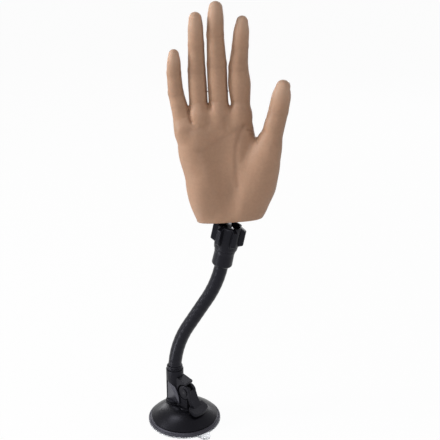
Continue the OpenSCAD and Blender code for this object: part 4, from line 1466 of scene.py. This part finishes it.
@dataclass
class BallJoint:
    """The ball joint: sleeve, finned lock nut, ball stud and the plate it carries."""

    arm: BendArm
    sleeve_d: float = 19.4
    sleeve_h: float = 17.0
    nut_d: float = 22.2
    fin_d: float = 30.4
    fins: int = 6
    nut_top: float = 41.0
    mouth_r: float = 8.7
    nut_sides: int = 360

    def build(self) -> None:
        """Builds the sleeve and the nut, and dresses the stud and the plate."""
        at, axes = self.arm.axes_at_top()
        self._sleeve(at, axes)
        self._nut(at, axes)
        dress("ball_stud", STEEL)
        dress("seat_ring", GREY_PLASTIC)
        dress("wrist_plate", SATIN_BLACK)

    def _sleeve(self, at: np.ndarray, axes: np.ndarray) -> None:
        """The sleeve: a turned cup with a chamfered foot and a slight taper.

        Args:
            at: top end of the arm.
            axes: frame of the arm there.
        """
        r = self.sleeve_d / 2
        neck, petal = self.arm.radius + 0.15, r - 0.7
        outline = [(neck, 0.3), (r - 1.9, 0.0), (r - 0.2, 1.9), (r - 0.5, self.sleeve_h - 4),
                   (r, self.sleeve_h - 1.2), (r, self.sleeve_h + 0.2), (petal, self.sleeve_h + 0.2),
                   (petal, 34.0), (7.6, 36.2), (5.6, 36.2), (6.3, 33.0), (6.6, 27.0), (neck, 24.0)]
        profile = rounded(outline, radius=0.7, steps=5, looped=True)
        points, faces = lathe_loop(profile, sides=96)
        points = framed(points, at, axes)
        piece = add_piece("turned_sleeve", points, faces, SATIN_BLACK, Shading.EDGED)
        stand_for(["socket_sleeve"])
        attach(piece, "socket")

    def _nut(self, at: np.ndarray, axes: np.ndarray) -> None:
        """The lock nut: a turned ring whose radius swells into fins at equal angles.

        Args:
            at: top end of the arm.
            axes: frame of the arm there.
        """
        low, top, r = self.sleeve_h + 0.4, self.nut_top, self.nut_d / 2
        inner = self.sleeve_d / 2 - 0.2
        outline = [(inner, low), (r - 0.6, low), (r - 0.1, low + 3.2), (r, low + 6), (r, top - 1.4),
                   (r - 1.2, top), (self.mouth_r + 0.6, top), (self.mouth_r, top - 1.2),
                   (self.mouth_r, 37.4), (inner, 32.0)]
        profile = rounded(outline, radius=0.8, steps=6, looped=True)
        profile = self._refined(profile, gap=0.5)
        points, faces = lathe_loop(profile, self.nut_sides)
        radius, z = np.hypot(points[:, 0], points[:, 1]), points[:, 2]
        angle = np.arctan2(points[:, 1], points[:, 0])
        phase = np.mod(angle * self.fins / FULL_TURN + 0.5, 1) - 0.5
        wide = np.abs(phase) * FULL_TURN / self.fins * radius
        crest = 1 - rise(wide, 1.5, 2.3)
        climb = rise(z, low + 4.6, low + 7.6) * (1 - rise(z, top - 3.4, top - 0.3) * 0.75)
        outer = rise(radius, r - 1.4, r - 0.6)
        grow = 1 + (self.fin_d / 2 - r) * crest * climb * outer / radius
        points[:, :2] *= grow[:, None]
        points = framed(points, at, axes)
        piece = add_piece("finned_nut", points, faces, SATIN_BLACK, Shading.EDGED)
        stand_for(["lock_nut"])
        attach(piece, "nut")

    @staticmethod
    def _refined(profile: np.ndarray, gap: float) -> np.ndarray:
        """A closed outline with points about a gap apart, and its own points kept.

        Args:
            profile: the outline, one row a point.
            gap: how far apart.

        Returns:
            The points.
        """
        loop = np.concatenate([profile, profile[:1]])
        length = np.concatenate([[0], np.cumsum(np.linalg.norm(np.diff(loop, axis=0), axis=1))])
        s = np.linspace(0, length[-1], int(length[-1] / gap), endpoint=False)
        s = np.unique(np.concatenate([s, length[:-1]]))
        return np.stack([np.interp(s, length, loop[:, 0]), np.interp(s, length, loop[:, 1])], -1)


@dataclass
class SuctionBase:
    """The suction base: gel pad, cup, dome, tower with its collar, and the lever."""

    pad_d: float = 70.0
    gel_h: float = 1.2
    tab_len: float = 8.0
    tab_w: float = 10.0
    tab_az: float = -57.0
    dome_d: float = 64.0
    cup_top: float = 4.4
    dome_top: float = 16.0
    dome_flat: float = 11.0
    dome_rim: float = 1.2
    lever_az: float = -41.0
    column: Point = (-9.0565, 7.8727, 51.4)
    column_back: float = 12.0
    column_d: float = 16.8
    stem_fwd: float = 4.5
    nose_w: float = 10.0
    collar_d: float = 15.4
    arm_r: float = 6.4
    cheek_at: tuple[float, float] = (-16.5, 18.6)
    cheek_radii: tuple[float, float] = (15.8, 21.8)
    cheek_wall: float = 1.6
    hub_z: float = 33.0
    hub_r: float = 6.8
    hub_slot: float = 4.5
    pin_r: float = 1.56

    def build(self) -> None:
        """Builds the turned pieces and the plates, and dresses the tower and the lever."""
        self._pad()
        self._cup()
        self._dome()
        self._collar()
        self._cheeks()
        self._hub_discs()
        dress("tower", SATIN_BLACK, bevel=0.5)
        dress("lever", SATIN_BLACK, bevel=0.6)
        dress("pull_stem", DARK_STEEL)
        dress("lever_pin", DARK_STEEL)
        dress("tower_screws", STEEL)

    def _pad(self) -> None:
        """The gel pad: a disc with a round tab, its rims eased."""
        r, w = self.pad_d / 2, self.tab_w / 2
        slant = 0.06  # radians of the slanting neck between disc and tab
        notch = math.asin(w / r) + slant
        disc = arc(notch, FULL_TURN - notch, 180) * r
        tab = arc(-math.pi / 2, math.pi / 2, 24) * w + np.array([r + self.tab_len - w, 0])
        points, faces = slab(np.concatenate([disc, tab]), 0.0, self.gel_h, bevel=0.4)
        piece = add_piece("clear_pad", turned(points, self.tab_az), faces, CLEAR_GEL, Shading.EDGED)
        stand_for(["gel_pad"])
        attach(piece, "base")

    def _cup(self) -> None:
        """The suction cup: a turned skirt with a raised bead at its rim."""
        r = self.pad_d / 2
        rim, top = self.dome_d / 2, self.cup_top
        outline = [(0, 1.25), (r - 0.4, 1.25), (r, 1.8), (r - 0.2, 2.8), (r - 1.4, 3.2),
                   (r - 1.9, 2.9), (rim + 0.7, 3.7), (rim - 0.5, top - 0.1), (0, top - 0.1)]
        mesh = lathe(rounded(outline, radius=0.45, steps=5), sides=128)
        piece = add_piece("rubber_cup", *mesh, BLACK_RUBBER, Shading.EDGED)
        stand_for(["suction_cup"])
        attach(piece, "base")

    def _dome(self) -> None:
        """The dome: a quarter sine wave from rim to top, turned, with the tower's seat on it."""
        r, flat, low, top = self.dome_d / 2, self.dome_flat, self.cup_top, self.dome_top
        a = np.linspace(0, 1, 40)
        climb = (top - low - self.dome_rim) * np.sin(a * math.pi / 2)
        crown = np.stack([r + (flat - r) * a, low + self.dome_rim + climb], -1)
        rim = np.array([[0.0, low + 0.02], [r - 0.5, low + 0.02], [r - 0.1, low + 0.3]])
        shell = lathe(np.concatenate([rim, crown, [[0.0, top]]]), sides=160)
        seat = self._seat_outline(self.column_d / 2 + 1.1, 8.8, self.nose_w / 2 + 0.6)
        points, faces = slab(seat, top - 4, top + 0.48, bevel=0.35)
        mesh = join(shell, (turned(points, self.lever_az), faces))
        piece = add_piece("gloss_dome", *mesh, GLOSS_BLACK, Shading.EDGED)
        stand_for(["dome_cover"])
        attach(piece, "base")

    def _seat_outline(self, back_r: float, front_r: float, half: float) -> np.ndarray:
        """Outline of two discs joined by a bar, in the lever's frame.

        Args:
            back_r: radius of the disc under the column.
            front_r: radius of the disc under the stem.
            half: half width of the bar.

        Returns:
            Points of the outline, one row each.
        """
        a0, a1 = math.asin(half / back_r), math.asin(half / front_r)
        back = arc(a0, FULL_TURN - a0, 60) * back_r + np.array([-self.column_back, 0])
        front = arc(-math.pi + a1, math.pi - a1, 60) * front_r + np.array([self.stem_fwd, 0])
        return np.concatenate([back, front])

    def _collar(self) -> None:
        """The collar: a turned ring with two steps."""
        r = self.collar_d / 2
        bore, step_r, top_r = self.arm_r + 0.25, r - 0.55, r - 0.1
        outline = [(bore, 0.02), (r, 0.02), (r, 1.7), (step_r, 1.9), (step_r, 2.3), (top_r, 2.5),
                   (top_r, 3.4), (r - 0.7, 3.95), (bore, 3.95)]
        profile = rounded(outline, radius=0.25, steps=4, looped=True)
        points, faces = lathe_loop(profile, sides=96)
        points = points + np.array(self.column)
        piece = add_piece("stepped_collar", points, faces, SATIN_BLACK, Shading.EDGED)
        stand_for(["collar"])
        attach(piece, "base")

    def _cheeks(self) -> None:
        """Two polished plates on the tower's flanks, each a quarter ellipse with eased rims, in a
        lighter black that is painted light.
        """
        curve = arc(0, math.pi / 2, 40) * np.array(self.cheek_radii)
        outline = np.concatenate([[[0.0, 0.0]], curve]) + np.array(self.cheek_at)
        low, high = self.nose_w / 2 - 0.3, self.nose_w / 2 + self.cheek_wall
        walls = ((low, high), (-high, -low))
        points, faces = join(*(slab(outline, a, b, bevel=0.35) for a, b in walls))
        points = turned(upright(points), self.lever_az)
        piece = add_piece("flank_plates", points, faces, LIT_CHEEK_BLACK, Shading.EDGED)
        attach(piece, "base")

    def _hub_discs(self) -> None:
        """Two bored discs on the lever's hub, round the pin, each a turned ring with eased rims."""
        low, high = self.hub_slot / 2, self.nose_w / 2 - 0.05
        outline = [(self.pin_r, low), (self.hub_r, low), (self.hub_r, high), (self.pin_r, high)]
        profile = rounded(outline, radius=0.5, steps=4, looped=True)
        ring, faces = lathe_loop(profile, sides=72)
        points, faces = join((ring, faces), (ring - np.array([0, 0, low + high]), faces))
        points = turned(upright(points) + np.array([self.stem_fwd, 0, self.hub_z]), self.lever_az)
        piece = add_piece("hub_discs", points, faces, SATIN_BLACK, Shading.EDGED)
        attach(piece, "lever")


@dataclass
class HandBones:
    """The hard pieces inside the hand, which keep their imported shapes."""

    digits: list[Digit]

    def build(self) -> None:
        """Dresses the palm core, the bars, the pins and the bones."""
        for node in ("palm_core", "knuckle_bar", "thumb_bracket"):
            dress(node, BONE_PLASTIC)
        for node in ("palm_screws", "knuckle_pins"):
            dress(node, STEEL)
        for body in (body for digit in self.digits for body in digit.bodies):
            dress(f"{body}_bone", BONE_PLASTIC)


# The studio


@dataclass(frozen=True)
class Lamp:
    """An area lamp: its place, the point it faces and its sides in metres, and its power.

    A lamp that isn't matt leaves matt surfaces alone and shows only as gloss.
    """

    name: str
    at: Point
    aim: Point
    size: tuple[float, float]
    watts: float
    matt: bool = True

    def build(self) -> None:
        """Puts the lamp into the scene."""
        data = bpy.data.lights.new(self.name, "AREA")
        data.shape = "RECTANGLE"
        data.size, data.size_y = self.size
        data.energy = self.watts
        lamp = bpy.data.objects.new(self.name, data)
        lamp.visible_camera = False
        lamp.visible_diffuse = self.matt
        lamp.location = self.at
        lamp.rotation_mode = "QUATERNION"
        lamp.rotation_quaternion = (Vector(self.aim) - Vector(self.at)).to_track_quat("-Z", "Y")
        bpy.context.scene.collection.objects.link(lamp)


@dataclass
class Studio:
    """Floor, lamps, world and the camera of the photograph, with its eye in metres."""

    eye: Point = (0.0347, -0.749, 0.505)
    pitch: float = 21.6
    focal_px: float = 900.0
    frame_px: float = 440.0
    floor_colour: Colour = (0.86, 0.86, 0.87)
    floor_half: float = 9000.0
    floor_back: float = 2000.0
    floor_z: float = -0.05
    floor_white: float = 0.965
    sky_light: float = 0.18
    lamps: tuple[Lamp, ...] = (
        Lamp("left", (-1.1, -0.12, 0.62), (0.02, 0.0, 0.27), (0.3, 0.7), 12.0),
        Lamp("right", (1.0, -0.4, 0.7), (0.03, 0.0, 0.2), (0.3, 0.8), 1.4),
        Lamp("front", (-0.25, -1.2, 0.95), (0.03, 0.0, 0.26), (0.6, 0.6), 6.2),
        Lamp("rear", (0.35, 1.25, 0.8), (0.03, 0.0, 0.26), (0.8, 0.8), 4.0),
        Lamp("strip", (-0.31, -0.12, 0.03), (-0.21, -0.083, 1.0), (0.06, 0.4), 0.45, False),
        Lamp("top", (-0.4, 0.05, 1.0), (0.0, 0.0, 0.02), (0.22, 0.4), 3.2, False),
        Lamp("rim_left", (-0.57, 0.97, 0.44), (0.0, 0.0, 0.02), (0.25, 0.5), 2.4, False),
        Lamp("rim_right", (0.57, 0.97, 0.44), (0.0, 0.0, 0.02), (0.25, 0.5), 1.6, False),
    )

    def build(self) -> None:
        """Makes the studio."""
        bpy.context.scene.view_settings.view_transform = "Standard"
        self._camera()
        self._world()
        self._floor()
        for lamp in self.lamps:
            lamp.build()

    def _camera(self) -> None:
        """The camera, pitched down, with the photograph's angle of view."""
        data = bpy.data.cameras.new("view")
        data.sensor_width = 36.0
        data.lens = self.focal_px / self.frame_px * data.sensor_width
        data.clip_end = 50.0
        camera = bpy.data.objects.new("view", data)
        camera.location = self.eye
        camera.rotation_euler = (math.radians(90 - self.pitch), 0, 0)
        bpy.context.scene.collection.objects.link(camera)
        bpy.context.scene.camera = camera

    def _world(self) -> None:
        """White where it is seen or mirrored, a plain soft level as light."""
        world = bpy.data.worlds.new("studio")
        world.use_nodes = True
        bpy.context.scene.world = world
        graph = Graph(world.node_tree)
        seen = self._seen(graph)
        cool = {"Color": (0.98, 0.99, 1.0, 1), "Strength": self.sky_light}
        light = graph.add("ShaderNodeBackground", {}, cool)
        white = graph.add("ShaderNodeBackground", {}, {"Color": (1, 1, 1, 1), "Strength": 1.0})
        surface = graph.add("ShaderNodeMixShader", {}, {0: seen, 1: light, 2: white})
        graph.add("ShaderNodeOutputWorld", {}, {"Surface": surface})

    @staticmethod
    def _seen(graph: Graph) -> Sock:
        """1 for rays from the camera, mirrors and clear pieces, 0 for light.

        Args:
            graph: the graph of the world or the floor.

        Returns:
            The largest of the three kinds.
        """
        kinds = ("Is Camera Ray", "Is Glossy Ray", "Is Transmission Ray")
        a, b, c = (graph.add("ShaderNodeLightPath", out=kind) for kind in kinds)
        return a.most(b).most(c)

    def _floor(self) -> None:
        """A wide pale floor that keeps a soft shadow and reads white to the camera."""
        a = np.linspace(-1, 1, 3)
        x, y = np.meshgrid(a * self.floor_half, a * self.floor_half + self.floor_back)
        points = np.stack([x, y, np.full(x.shape, self.floor_z)], -1).reshape(-1, 3)
        finish = Finish("floor", self.floor_colour)
        floor = add_piece("floor", points, sheet_quads(3, 3).tolist(), finish, closed=False)
        material = bpy.data.materials["floor"]
        graph = Graph(material.node_tree)
        seen = self._seen(graph)
        lit = graph.add("ShaderNodeBsdfDiffuse", {}, {"Color": rgba(self.floor_colour)})
        white = graph.add("ShaderNodeEmission", {}, {"Color": (1, 1, 1, 1), "Strength": 1.0})
        values = {0: seen * self.floor_white, 1: lit, 2: white}
        surface = graph.add("ShaderNodeMixShader", {}, values)
        graph.add("ShaderNodeOutputMaterial", {}, {"Surface": surface})


def main() -> None:
    """Builds the studio and every sub-assembly."""
    logging.basicConfig(level=logging.INFO, format="%(name)s: %(message)s")
    Studio().build()
    arm = BendArm()
    SuctionBase().build()
    arm.build()
    BallJoint(arm).build()
    skin = HandSkin()
    skin.build()
    Nails(skin.digits).build()
    HandBones(skin.digits).build()
    bpy.context.view_layer.update()


if __name__ == "__main__":
    main()
